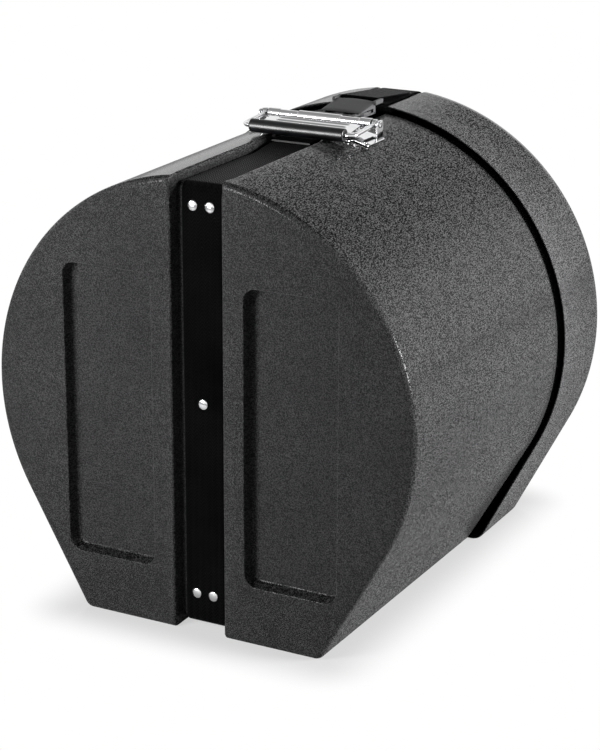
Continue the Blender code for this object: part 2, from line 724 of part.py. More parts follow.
def base_strap_path():
    """From the rear of the underside, up the front, over the top, round the bar."""
    low = CHANNEL_BOTTOM_DEPTH - STRAP_LIFT
    front = CHANNEL_FRONT_DEPTH - STRAP_LIFT
    top = CHANNEL_FLOOR_TOP + STRAP_LIFT
    bend = STRAP_BEND
    under_low = UPPER_UNDER_PLATE - LAYER_STEP
    path = [(STRAP_REAR_END, low)]
    path += arc((front + bend, low + bend), bend, -math.pi / 2, -math.pi, STRAP_BEND_STEPS)
    path += arc((front + bend, top - bend), bend, math.pi, math.pi / 2, STRAP_BEND_STEPS)
    path += [
        (FOLD_START_LOW, top),
        (FOLD_END, FOLD_LOW_HEIGHT),
        (UNDER_GRIP_REAR, UNDER_GRIP - LAYER_STEP),
        (PLATE_FRONT, under_low),
        (PLATE_REAR + LAYER_STEP, under_low),
    ]
    bar = (MALE_BAR_FROM_FRONT, MALE_BAR_Z)
    path += arc(bar, LOOP_RADIUS, *MALE_LOOP, STRAP_BEND_STEPS)
    path += [
        (PLATE_REAR + LAYER_STEP, UPPER_UNDER_PLATE),
        (PLATE_FRONT, UPPER_UNDER_PLATE),
        (UNDER_GRIP_REAR, UNDER_GRIP),
        (FOLD_END, FOLD_LOW_HEIGHT + LAYER_STEP),
    ]
    return path


def lid_strap_path():
    """From the fold's end, round the bar, over the lid and under its foot."""
    low_inset = LID_CHANNEL_TOP_DEPTH - STRAP_LIFT
    back_inset = LID_CHANNEL_BACK_DEPTH - STRAP_LIFT
    low = LID_TOP - low_inset
    bar = (FEMALE_BAR_FROM_FRONT, FEMALE_BAR_Z)
    path = [(LID_FOLD_END, low + LAYER_STEP)]
    path += arc(bar, LOOP_RADIUS, *FEMALE_LOOP, STRAP_BEND_STEPS)
    path.append((LID_STRAP_LEAVE, low))
    for place, height, out, up, inset in lid_path(low_inset, back_inset, LID_STRAP_END)[1:]:
        path.append((place - out * inset, height - up * inset))
    return path


def rivet_profile(grip):
    """Radius against height along the axis, head at the top, from the axis down."""
    head = RIVET_HEAD_HEIGHT
    tail = -grip - FIT
    return [
        (0, head),
        (RIVET_HEAD_RADIUS * math.sin(math.radians(45)), head * math.cos(math.radians(35))),
        (RIVET_HEAD_RADIUS, head * math.cos(math.radians(80))),
        (RIVET_HEAD_RADIUS, 0),
        (RIVET_SHANK_RADIUS, 0),
        (RIVET_SHANK_RADIUS, tail),
        (RIVET_TAIL_RADIUS, tail),
        (RIVET_TAIL_RADIUS, tail - RIVET_TAIL_HEIGHT),
        (0, tail - RIVET_TAIL_HEIGHT),
    ]


def turned(name, profile, material, closed=False, steps=RIVET_STEPS):
    """A profile turned about Z with a Screw modifier."""
    mesh = bpy.data.meshes.new(name)
    edges = [(index, index + 1) for index in range(len(profile) - 1)]
    if closed:
        edges.append((len(profile) - 1, 0))
    mesh.from_pydata([(radius, 0, height) for radius, height in profile], edges, [])
    made = add_object(name, mesh, material)
    screw = made.modifiers.new("turn", "SCREW")
    screw.steps = steps
    screw.render_steps = steps
    screw.use_merge_vertices = True
    screw.merge_threshold = 0.00001
    screw.use_smooth_shade = True
    return made


def place_along(made, seat, outward):
    """Puts an object's +Z along a direction, with its origin at a point."""
    turn = Vector(outward).to_track_quat("Z", "Y").to_matrix().to_4x4()
    made.matrix_world = Matrix.Translation(seat) @ turn
    return made


def washer_profile(radius):
    return [
        (HOLE_RADIUS, 0), (radius, 0), (radius, -WASHER_THICK),
        (HOLE_RADIUS, -WASHER_THICK),
    ]


def add_rivet(name, seat, outward, stack, pierced, washer_radius=WASHER_RADIUS):
    """A rivet through a stack, its washer behind the wall, and their holes."""
    grip = stack + FIT * 2 + WASHER_THICK
    out = Vector(outward).normalized()
    rivet = turned(name, rivet_profile(grip), NICKEL)
    place_along(rivet, Vector(seat), out)
    washer = turned(name.replace("rivet", "washer"), washer_profile(washer_radius), NICKEL,
                    closed=True)
    place_along(washer, Vector(seat) - out * (stack + FIT), out)
    hole = cylinder(
        f"hole_{name}", Vector(seat) + out * OVERRUN / 4,
        Vector(seat) - out * (stack + OVERRUN / 4), HOLE_RADIUS, steps=RIVET_STEPS,
    )
    for piece in pierced:
        combine(piece, hole)


def build_strap_rivets(base_shell, base_strap, lid_shell, lid_strap):
    """The rivets that hold the strap: five in front, two below, five behind."""
    strap_stack = STRAP_THICK + FIT * 2 + WALL
    front_seat = FRONT_Y + CHANNEL_FRONT_DEPTH - STRAP_THICK - FIT * 2
    back_seat = BACK_Y - LID_CHANNEL_BACK_DEPTH + STRAP_THICK + FIT * 2
    low_seat = CHANNEL_BOTTOM_DEPTH - STRAP_THICK - FIT * 2
    half = RIVET_PAIR_HALF
    high, low = CHANNEL_FLOOR_TOP - FRONT_RIVET_TO_TOP, CHANNEL_BOTTOM_DEPTH + FRONT_RIVET_TO_BOTTOM
    middle = CENTRE_HEIGHT + FRONT_RIVET_RISE
    front = (
        ("top_left", -half, high), ("top_right", half, high), ("middle", 0, middle),
        ("low_left", -half, low), ("low_right", half, low),
    )
    for word, x, z in front:
        add_rivet(f"front_rivet_{word}", (x, front_seat, z), (0, -1, 0), strap_stack,
                  (base_shell, base_strap))
    inset = LID_BACK_FILLET + LID_RIVET_TO_FILLET
    high, low = LID_TOP - inset, inset
    back = (
        ("top_left", -half, high), ("top_right", half, high), ("middle", 0, middle),
        ("low_left", -half, low), ("low_right", half, low),
    )
    for word, x, z in back:
        add_rivet(f"lid_rivet_{word}", (x, back_seat, z), (0, 1, 0), strap_stack,
                  (lid_shell, lid_strap))
    for word, x in (("left", -half), ("right", half)):
        seat = (x, from_front(SHOULDER_FROM_FRONT - BOTTOM_RIVET_TO_SHOULDER), low_seat)
        add_rivet(f"bottom_rivet_{word}", seat, (0, 0, -1), strap_stack,
                  (base_shell, base_strap))


def curved_plate(name, half, front, rear, material):
    """A plate bent to the shell's round, a fit's gap above it."""
    span = math.asin(half / PLATE_SEAT)
    rings = []
    for index in range(PLATE_STEPS + 1):
        angle = -span + 2 * span * index / PLATE_STEPS
        ring = []
        for y, radius in (
            (front, PLATE_SEAT), (rear, PLATE_SEAT),
            (rear, PLATE_SEAT + PLATE_THICK), (front, PLATE_SEAT + PLATE_THICK),
        ):
            ring.append((radius * math.sin(angle), from_front(y),
                         CENTRE_HEIGHT + radius * math.cos(angle)))
        rings.append(ring)
    return loft(name, rings, material, math.radians(40))


def extruded(name, outline_points, place, extent, material=None):
    """A flat outline given a thickness, placed by a function of its two axes."""
    return loft(name, [
        [place(u, v, level) for u, v in outline_points] for level in extent
    ], material, math.radians(40))


def build_base_plate(shell):
    """The handle's plate: a tongue and two window flanges, with an ear at each end."""
    plate = curved_plate("handle_base_plate", PLATE_HALF, PLATE_TONGUE_FRONT, PLATE_REAR, CHROME)
    low = CENTRE_HEIGHT + PLATE_SEAT * math.cos(math.asin(PLATE_HALF / PLATE_SEAT)) - OVERRUN
    for side in (-1, 1):
        edges = sorted((side * COVER_HALF, side * (PLATE_HALF + OVERRUN)))
        combine(plate, box(
            f"plate_corner_{'left' if side < 0 else 'right'}",
            (edges[0], from_front(PLATE_TONGUE_FRONT) - OVERRUN, low),
            (edges[1], from_front(PLATE_FRONT), PIVOT_Z),
        ))
    ear_foot = CENTRE_HEIGHT + math.sqrt(PLATE_SEAT ** 2 - EAR_INNER_X ** 2) + PLATE_THICK / 3
    corner_u = EAR_HALF - EAR_CORNER
    corner_v = PIVOT_Z + EAR_RISE - EAR_CORNER
    outline_points = [(EAR_HALF, ear_foot)]
    outline_points += arc((corner_u, corner_v), EAR_CORNER, 0, math.pi / 2, FILLET_STEPS)
    outline_points += arc((-corner_u, corner_v), EAR_CORNER, math.pi / 2, math.pi, FILLET_STEPS)
    outline_points.append((-EAR_HALF, ear_foot))
    for side in (-1, 1):
        word = "left" if side < 0 else "right"
        extent = (side * EAR_INNER_X, side * (EAR_INNER_X + EAR_THICK))
        ear = extruded(f"ear_{word}", outline_points,
                       lambda u, v, x: (x, PIVOT_Y + u, v), extent)
        combine(plate, ear, "UNION")
        edges = sorted((side * (BARREL_HALF + WINDOW_SIDE_GAP), side * (EAR_INNER_X - WINDOW_EAR_GAP)))
        combine(plate, box(
            f"window_{word}",
            (edges[0], from_front(WINDOW_FRONT), ear_foot - OVERRUN),
            (edges[1], from_front(WINDOW_FRONT + WINDOW_LENGTH), ear_foot + OVERRUN),
        ))
    reach = EAR_INNER_X + EAR_THICK + OVERRUN
    combine(plate, cylinder(
        "ear_hole", (-reach, PIVOT_Y, PIVOT_Z), (reach, PIVOT_Y, PIVOT_Z),
        PIN_RADIUS + FIT,
    ))
    facet = (math.pi - 2 * BASE_TILT) / ARC_STEPS / 2
    facet_sag = BASE_RADIUS * (1 - math.cos(facet)) + HANDLE_WASHER_RADIUS * math.sin(facet)
    span = math.asin((CHANNEL_HALF + HANDLE_RIVET_TO_CHANNEL) / PLATE_SEAT)
    for side, place in ((-1, PLATE_FRONT + HANDLE_RIVET_INSET), (1, PLATE_FRONT + HANDLE_RIVET_INSET),
                        (-1, PLATE_REAR - HANDLE_RIVET_INSET), (1, PLATE_REAR - HANDLE_RIVET_INSET)):
        out = Vector((side * math.sin(span), 0, math.cos(span)))
        radius = PLATE_SEAT + PLATE_THICK + FIT
        seat = Vector((0, from_front(place), CENTRE_HEIGHT)) + out * radius
        words = ("left" if side < 0 else "right",
                 "front" if place < PIVOT_FROM_FRONT - EAR_HALF else "rear")
        stack = PLATE_SEAT + PLATE_THICK + FIT - shell_radius(place) + WALL + facet_sag
        add_rivet(f"handle_rivet_{words[0]}_{words[1]}", seat, out, stack, (shell, plate),
                  HANDLE_WASHER_RADIUS)
    return plate


def build_cover():
    """The stepped barrel with the ribbed plate that slopes from it to the grip."""
    profile = [
        (-BARREL_HALF, BARREL_END_RADIUS), (-BARREL_SIDE_END, BARREL_END_RADIUS),
        (-BARREL_SIDE_END, BARREL_SIDE_RADIUS), (-BARREL_MID_HALF, BARREL_SIDE_RADIUS),
        (-BARREL_MID_HALF, BARREL_RADIUS), (BARREL_MID_HALF, BARREL_RADIUS),
        (BARREL_MID_HALF, BARREL_SIDE_RADIUS), (BARREL_SIDE_END, BARREL_SIDE_RADIUS),
        (BARREL_SIDE_END, BARREL_END_RADIUS), (BARREL_HALF, BARREL_END_RADIUS),
    ]
    rings = []
    for x, radius in profile:
        ring = arc((0, 0), radius, 0, 2 * math.pi, TUBE_STEPS)[:-1]
        rings.append([(x, PIVOT_Y + u, PIVOT_Z + v) for u, v in ring])
    barrel = loft("handle_cover", rings, CHROME, math.radians(40))
    front = from_front(COVER_FRONT)
    rear = PIVOT_Y - BARREL_BORE
    low_rear = PIVOT_Z - COVER_THICK / 2
    section = [
        (front, COVER_FRONT_Z - COVER_THICK), (rear, low_rear),
        (rear, low_rear + COVER_THICK), (front, COVER_FRONT_Z),
    ]
    sheet = extruded("cover_sheet", section, lambda u, v, x: (x, u, v),
                     (-COVER_HALF, COVER_HALF))
    for index in range(COVER_RIB_COUNT):
        share = (index + 1) / (COVER_RIB_COUNT + 1)
        y = front + (PIVOT_Y - BARREL_RADIUS - front) * share
        z = COVER_FRONT_Z + (low_rear + COVER_THICK - COVER_FRONT_Z) * share
        rib = [
            (y - COVER_RIB_WIDTH / 2, z - COVER_THICK / 2),
            (y + COVER_RIB_WIDTH / 2, z - COVER_THICK / 2),
            (y + COVER_RIB_WIDTH / 4, z + COVER_RIB_HEIGHT),
            (y - COVER_RIB_WIDTH / 4, z + COVER_RIB_HEIGHT),
        ]
        reach = COVER_SLOT_X - COVER_SLOT_HALF * 3
        combine(sheet, extruded(f"cover_rib_{index}", rib, lambda u, v, x: (x, u, v),
                                (-reach, reach)), "UNION")
    combine(barrel, sheet, "UNION")
    for side in (-1, 1):
        edges = sorted((side * (COVER_SLOT_X - COVER_SLOT_HALF),
                        side * (COVER_SLOT_X + COVER_SLOT_HALF)))
        slot_rear = PIVOT_Y - BARREL_END_RADIUS - FIT
        combine(barrel, box(
            f"cover_slot_{'left' if side < 0 else 'right'}",
            (edges[0], slot_rear - COVER_SLOT_HALF * 2, PIVOT_Z - OVERRUN * 2),
            (edges[1], slot_rear, PIVOT_Z + OVERRUN * 2),
        ))
    combine(barrel, cylinder(
        "barrel_bore", (-BARREL_HALF - OVERRUN, PIVOT_Y, PIVOT_Z),
        (BARREL_HALF + OVERRUN, PIVOT_Y, PIVOT_Z), BARREL_BORE,
    ))
    return barrel


def build_pin():
    """The hinge pin, with a head outside each ear."""
    face = EAR_INNER_X + EAR_THICK + FIT
    end = face + PIN_HEAD_THICK
    profile = [(-end, PIN_HEAD_RADIUS), (-face, PIN_HEAD_RADIUS), (-face, PIN_RADIUS),
               (face, PIN_RADIUS), (face, PIN_HEAD_RADIUS), (end, PIN_HEAD_RADIUS)]
    rings = []
    for x, radius in profile:
        ring = arc((0, 0), radius, 0, 2 * math.pi, RIVET_STEPS)[:-1]
        rings.append([(x, PIVOT_Y + u, PIVOT_Z + v) for u, v in ring])
    return loft("handle_pin", rings, CHROME, math.radians(40))


def curve_mesh(name, points, radius, material, resolution):
    """A round wire through points, made a mesh with its end caps joined on."""
    curve = bpy.data.curves.new(name, "CURVE")
    curve.dimensions = "3D"
    curve.bevel_depth = radius
    curve.bevel_resolution = resolution
    curve.use_fill_caps = True
    spline = curve.splines.new("POLY")
    spline.points.add(len(points) - 1)
    for target, point in zip(spline.points, points):
        target.co = (*point, 1)
    holder = bpy.data.objects.new(f"{name}_curve", curve)
    bpy.context.scene.collection.objects.link(holder)
    bpy.context.view_layer.update()
    evaluated = holder.evaluated_get(bpy.context.evaluated_depsgraph_get())
    mesh = bpy.data.meshes.new_from_object(evaluated)
    bpy.data.objects.remove(holder)
    work = bmesh.new()
    work.from_mesh(mesh)
    bmesh.ops.remove_doubles(work, verts=work.verts, dist=0.00001)
    bpy.data.meshes.remove(mesh)
    return from_bmesh(name, work, material, math.radians(50))


def build_springs():
    """The two coil springs that turn the grip back down, round the pin."""
    for side in (-1, 1):
        points = []
        count = SPRING_TURNS * SPRING_POINTS_PER_TURN
        for index in range(count + 1):
            angle = 2 * math.pi * index / SPRING_POINTS_PER_TURN
            x = SPRING_START_X + (SPRING_END_X - SPRING_START_X) * index / count
            points.append((
                side * x, PIVOT_Y + SPRING_RADIUS * math.cos(angle),
                PIVOT_Z + SPRING_RADIUS * math.sin(angle),
            ))
        name = f"handle_spring_{'left' if side < 0 else 'right'}"
        curve_mesh(name, points, SPRING_WIRE, STEEL, 1)
    gap = (SPRING_END_X - SPRING_START_X) / SPRING_TURNS - 2 * SPRING_WIRE
    print(f"least gap between spring turns {gap * 1000:.2f} mm")


def build_bail():
    """The rod that carries the grip, bent back to an eye on the pin at each end."""
    level = GRIP_HEIGHT
    bend = ARM_BEND
    arm = (Vector((ARM_X, PIVOT_Y, PIVOT_Z)) - Vector((ARM_X, GRIP_Y, level))).normalized()
    half = []
    for index in range(STRAP_BEND_STEPS + 1):
        angle = math.pi / 2 * index / STRAP_BEND_STEPS
        forward = bend * (1 - math.sin(angle))
        inward = bend * (1 - math.cos(angle))
        half.append(Vector((ARM_X - inward, GRIP_Y, level)) + arm * forward)
    right = [Vector((ARM_X, PIVOT_Y, PIVOT_Z)) - arm * (PIN_RADIUS + FIT * 3)] + half
    left = [Vector((-point.x, point.y, point.z)) for point in reversed(right)]
    bail = curve_mesh("handle_bail", right + left, ROD_RADIUS, CHROME, 3)
    for side in (-1, 1):
        word = "left" if side < 0 else "right"
        eye = cylinder(
            f"eye_{word}", (side * ARM_X - EYE_HALF, PIVOT_Y, PIVOT_Z),
            (side * ARM_X + EYE_HALF, PIVOT_Y, PIVOT_Z), EYE_RADIUS,
        )
        combine(bail, eye, "UNION")
    combine(bail, cylinder(
        "eye_bore", (-ARM_X - OVERRUN, PIVOT_Y, PIVOT_Z),
        (ARM_X + OVERRUN, PIVOT_Y, PIVOT_Z), PIN_RADIUS + FIT,
    ))
    return bail


def build_grip():
    """The rubber tube on the rod."""
    bore = ROD_RADIUS + FIT
    profile = [
        (-GRIP_HALF, GRIP_RADIUS - GRIP_EDGE), (-GRIP_HALF + GRIP_EDGE, GRIP_RADIUS),
        (GRIP_HALF - GRIP_EDGE, GRIP_RADIUS), (GRIP_HALF, GRIP_RADIUS - GRIP_EDGE),
    ]
    rings = []
    for x, radius in profile:
        ring = arc((0, 0), radius, 0, 2 * math.pi, TUBE_STEPS)[:-1]
        rings.append([(x, GRIP_Y + u, GRIP_HEIGHT + v) for u, v in ring])
    grip = loft("handle_grip", rings, RUBBER, math.radians(50))
    combine(grip, cylinder(
        "grip_bore", (-GRIP_HALF - OVERRUN, GRIP_Y, GRIP_HEIGHT),
        (GRIP_HALF + OVERRUN, GRIP_Y, GRIP_HEIGHT), bore,
    ))
    return grip


def web_bar(name, half, place, height):
    return cylinder(name, (-half, from_front(place), height),
                    (half, from_front(place), height), BAR_RADIUS, steps=RIVET_STEPS)


def build_male_buckle():
    """The buckle's male body: a bar for the strap, a cross block and a guide tongue."""
    body = box(
        "buckle_male", (-BUCKLE_HALF, from_front(MALE_BLOCK_FRONT), MALE_LOW_Z),
        (BUCKLE_HALF, from_front(MALE_BLOCK_REAR), PRONG_TOP_Z), ACETAL,
    )
    overlap = MALE_BLOCK_REAR - MALE_BLOCK_FRONT
    for side in (-1, 1):
        edges = sorted((side * RAIL_INNER, side * (RAIL_INNER + MALE_RAIL_THICK)))
        combine(body, box(
            f"male_rail_{'left' if side < 0 else 'right'}",
            (edges[0], from_front(MALE_BAR_FROM_FRONT - MALE_RAIL_REACH), MALE_LOW_Z - FIT),
            (edges[1], from_front(MALE_BLOCK_FRONT + overlap / 2), MALE_BAR_Z + BAR_RADIUS + FIT),
        ), "UNION")
    combine(body, web_bar("male_bar", RAIL_INNER + MALE_RAIL_THICK / 2,
                          MALE_BAR_FROM_FRONT, MALE_BAR_Z), "UNION")
    combine(body, box(
        "male_tongue", (-TONGUE_HALF, from_front(MALE_BLOCK_REAR - overlap / 3), PRONG_LOW_Z),
        (TONGUE_HALF, from_front(MALE_BLOCK_REAR + TONGUE_LENGTH), PRONG_TOP_Z - FIT),
    ), "UNION")
    return body


def flat_shape(name, loops, low_z, thick, material):
    """A flat outline with holes, filled as a curve, then made a closed mesh."""
    curve = bpy.data.curves.new(name, "CURVE")
    curve.dimensions = "2D"
    curve.fill_mode = "BOTH"
    curve.extrude = thick / 2
    for points in loops:
        spline = curve.splines.new("POLY")
        spline.points.add(len(points) - 1)
        for target, (x, y) in zip(spline.points, points):
            target.co = (x, y, 0, 1)
        spline.use_cyclic_u = True
    holder = bpy.data.objects.new(f"{name}_curve", curve)
    bpy.context.scene.collection.objects.link(holder)
    bpy.context.view_layer.update()
    evaluated = holder.evaluated_get(bpy.context.evaluated_depsgraph_get())
    mesh = bpy.data.meshes.new_from_object(evaluated)
    bpy.data.objects.remove(holder)
    work = bmesh.new()
    work.from_mesh(mesh)
    bmesh.ops.remove_doubles(work, verts=work.verts, dist=0.00001)
    bmesh.ops.translate(work, verts=work.verts, vec=(0, 0, low_z + thick / 2))
    bpy.data.meshes.remove(mesh)
    return from_bmesh(name, work, material)


# Shares of the prong's reach behind its pivot and of its bulge beyond the pivot line
PRONG_OUTER_SHARES = (
    (0.04, 0.20), (0.28, 0.20), (0.40, 0.66), (0.52, 0.94), (0.64, 1.00),
    (0.78, 0.86), (0.92, 0.50), (1.00, 0.10),
)
PRONG_INNER_SHARES = ((0.97, -0.14), (0.80, -0.08), (0.55, -0.12), (0.30, -0.16), (0.04, -0.20))
PRONG_HOLE_SHARES = ((0.46, 0.42), (0.52, 0.62), (0.64, 0.70), (0.76, 0.58), (0.82, 0.38),
                     (0.76, 0.24), (0.64, 0.20), (0.52, 0.24))


def build_prongs():
    """The two sprung arms, each turning about a post at its root."""
    for side in (-1, 1):
        word = "left" if side < 0 else "right"

        def places(shares):
            return [
                (side * PRONG_BULGE * bulge, PRONG_REACH * reach)
                for reach, bulge in shares
            ]

        root = arc((0, 0), PRONG_BOSS, math.pi, 2 * math.pi, FILLET_STEPS)
        if side < 0:
            root = list(reversed(root))
        outer = root + places(PRONG_OUTER_SHARES) + places(PRONG_INNER_SHARES)
        prong = flat_shape(
            f"buckle_prong_{word}", [outer, places(PRONG_HOLE_SHARES)],
            PRONG_LOW_Z, PRONG_THICK, ACETAL,
        )
        prong.location = (side * PRONG_PIVOT_X, from_front(PRONG_PIVOT_FROM_FRONT), 0)


def build_female_buckle():
    """The buckle's female body: a floor, an arched roof, a block and a strap bar."""
    floor_top = PRONG_LOW_Z - FIT
    roof_low = PRONG_TOP_Z + FIT
    floor_low = floor_top - FEMALE_FLOOR_THICK
    body = box(
        "buckle_female", (-BUCKLE_HALF, from_front(FEMALE_FRONT), floor_low),
        (BUCKLE_HALF, from_front(FEMALE_BLOCK_REAR), floor_top), ACETAL,
    )
    rings = []
    for place, height in (
        (FEMALE_FRONT, FEMALE_ROOF_FRONT_Z), (FEMALE_BLOCK_REAR, FEMALE_ROOF_REAR_Z),
    ):
        ring = [(BUCKLE_HALF, from_front(place), roof_low)]
        for index in range(PLATE_STEPS // 2 + 1):
            share = 1 - 2 * index / (PLATE_STEPS // 2)
            ring.append((BUCKLE_HALF * share, from_front(place),
                         height - FEMALE_ARCH * share ** 2))
        ring.append((-BUCKLE_HALF, from_front(place), roof_low))
        rings.append(ring)
    combine(body, loft("female_roof", rings), "UNION")
    combine(body, box(
        "female_block", (-BUCKLE_HALF, from_front(FEMALE_BLOCK_FRONT), floor_low + FIT),
        (BUCKLE_HALF, from_front(FEMALE_BLOCK_REAR) - FIT, roof_low + FIT),
    ), "UNION")
    for side in (-1, 1):
        edges = sorted((side * RAIL_INNER, side * (RAIL_INNER + FEMALE_RAIL_THICK)))
        combine(body, box(
            f"female_rail_{'left' if side < 0 else 'right'}",
            (edges[0], from_front(FEMALE_BLOCK_FRONT), FEMALE_BAR_Z - RAIL_HALF_HEIGHT),
            (edges[1], from_front(FEMALE_BAR_FROM_FRONT + FEMALE_RAIL_REACH),
             FEMALE_BAR_Z + RAIL_HALF_HEIGHT),
        ), "UNION")
    combine(body, web_bar("female_bar", RAIL_INNER + FEMALE_RAIL_THICK / 2,
                          FEMALE_BAR_FROM_FRONT, FEMALE_BAR_Z), "UNION")
    return body


def build_padding():
    """Two foam rails on the base's floor and a foam disc inside the lid's back."""
    for side in (-1, 1):
        edges = sorted((side * (CHANNEL_HALF + PAD_TO_CHANNEL), side * (BASE_FOOT_HALF - PAD_INSIDE_FOOT)))
        box(
            f"base_pad_{'left' if side < 0 else 'right'}",
            (edges[0], from_front(PAD_FRONT), WALL + FIT),
            (edges[1], from_front(SHOULDER_FROM_FRONT - PAD_TO_SHOULDER), WALL + FIT + PAD_THICK), FOAM,
        )
    rear = BACK_Y - LID_PANEL_DEPTH - WALL - FIT
    rings = []
    full = LID_RADIUS - LID_PAD_EDGE_GAP
    for y, radius in (
        (rear, full), (rear - LID_PAD_THICK + LID_PAD_EDGE, full),
        (rear - LID_PAD_THICK, full - LID_PAD_EDGE),
    ):
        ring = arc((0, CENTRE_HEIGHT), radius, 0, 2 * math.pi, ARC_STEPS)[:-1]
        rings.append([(x, y, z) for x, z in ring])
    loft("lid_pad", rings, FOAM, math.radians(40))


def main():
    base_shell = build_base_shell()
    lid_shell = build_lid_shell()
    base_strap = ribbon("base_strap", base_strap_path())
    lid_strap = ribbon("lid_strap", lid_strap_path())
    build_strap_rivets(base_shell, base_strap, lid_shell, lid_strap)
    build_base_plate(base_shell)
    build_cover()
    build_pin()
    build_springs()
    build_bail()
    build_grip()
    build_male_buckle()
    build_prongs()
    build_female_buckle()
    build_padding()


main()
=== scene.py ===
"""Looks for the bass drum case: finer shells, webbing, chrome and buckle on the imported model.

Everything is in metres in the frame of the CAD model: the case stands on z = 0, its front
face looks towards -Y and the lid is at +Y.
"""

import logging
from dataclasses import dataclass
from enum import Enum
from math import acos, asin, atan2, ceil, copysign, cos, dist, hypot, inf, pi, radians, sin, sqrt, tan
from typing import Any, Callable, Iterable, Mapping, Sequence

import bmesh
import bpy
from mathutils import Matrix, Vector


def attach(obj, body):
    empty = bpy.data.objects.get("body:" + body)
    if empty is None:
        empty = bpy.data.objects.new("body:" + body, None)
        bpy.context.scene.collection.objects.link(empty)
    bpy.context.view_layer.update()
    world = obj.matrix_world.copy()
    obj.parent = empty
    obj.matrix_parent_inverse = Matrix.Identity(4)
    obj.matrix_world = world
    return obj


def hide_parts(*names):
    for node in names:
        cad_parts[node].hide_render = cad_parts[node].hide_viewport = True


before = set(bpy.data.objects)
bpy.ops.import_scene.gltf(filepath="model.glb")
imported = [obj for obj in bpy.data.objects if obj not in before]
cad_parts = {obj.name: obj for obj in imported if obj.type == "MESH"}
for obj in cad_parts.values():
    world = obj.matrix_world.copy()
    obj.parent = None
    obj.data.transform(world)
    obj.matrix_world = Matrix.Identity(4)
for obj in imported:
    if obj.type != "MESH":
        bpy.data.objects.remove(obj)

LOG = logging.getLogger("drum_case")
NORMAL_WEIGHT = 80
MERGE_DISTANCE = 0.000005
CUT_DISTANCE = 0.000002

Piece = bpy.types.Object
Flat = tuple[float, float]
Place = tuple[float, float, float]


class Side(Enum):
    """The case's left or right side, with the sign of its X places."""

    LEFT = -1
    RIGHT = 1

    @property
    def word(self) -> str:
        """The side's word in node names."""
        return self.name.lower()

    def edges(self, inner: float, outer: float) -> Flat:
        """The low and high X places of a span between two distances from the middle."""
        low, high = sorted((self.value * inner, self.value * outer))
        return low, high


class Body(Enum):
    """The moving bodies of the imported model."""

    BASE = "base"
    LID = "lid"
    BAIL = "bail"
    RELEASE_LEFT = "release_left"
    RELEASE_RIGHT = "release_right"


class Slot(Enum):
    """The material slots of the record."""

    BASE_SHELL = "grained_polyethylene"
    LID_SHELL = "lid_polyethylene"
    WEBBING = "black_webbing"
    RIVETS = "rivet_nickel"
    CHROME = "chrome_plate"
    RUBBER = "grip_rubber"
    ACETAL = "buckle_acetal"
    STEEL = "spring_steel"
    FOAM = "charcoal_foam"


def operator(operation: str, reflected: bool = False) -> "Callable[[Socket, Any], Socket]":
    """Makes an arithmetic operator that adds a Math node.

    Args:
        operation: The Math node's operation.
        reflected: Whether the socket is the second value, as the mask is in 1 - mask.

    Returns:
        The operator's method.
    """

    def apply(self: "Socket", other: "Socket | float") -> "Socket":
        """This value and another, through the Math node."""
        return self.math(operation, *((other, self) if reflected else (self, other)))

    return apply


class Socket:
    """One value in a material's graph, with arithmetic that adds Math nodes."""

    __add__, __radd__ = operator("ADD"), operator("ADD", True)
    __sub__, __rsub__ = operator("SUBTRACT"), operator("SUBTRACT", True)
    __mul__, __rmul__ = operator("MULTIPLY"), operator("MULTIPLY", True)
    __pow__ = operator("POWER")

    def __init__(self, graph: "Graph", output: bpy.types.NodeSocket) -> None:
        """Wraps an output socket of a graph's node."""
        self.graph = graph
        self.output = output

    def math(self, operation: str, *values: "Socket | float") -> "Socket":
        """Adds a Math node with values in order."""
        return self.graph.node("ShaderNodeMath", {"operation": operation}, dict(enumerate(values)))

    def __abs__(self) -> "Socket":
        """This value without its sign."""
        return self.math("ABSOLUTE", self)

    def sine(self) -> "Socket":
        """The sine of this value in radians."""
        return self.math("SINE", self)

    def zigzag(self, reach: float) -> "Socket":
        """This value folded to and fro between zero and a reach."""
        return self.math("PINGPONG", self, reach)

    def ease(self, low: float, high: float, start: float = 0.0, end: float = 1.0) -> "Socket":
        """Eases from a start to an end value as this value goes from low to high."""
        return self.graph.node(
            "ShaderNodeMapRange",
            {"interpolation_type": "SMOOTHSTEP"},
            {0: self, 1: low, 2: high, 3: start, 4: end},
        )


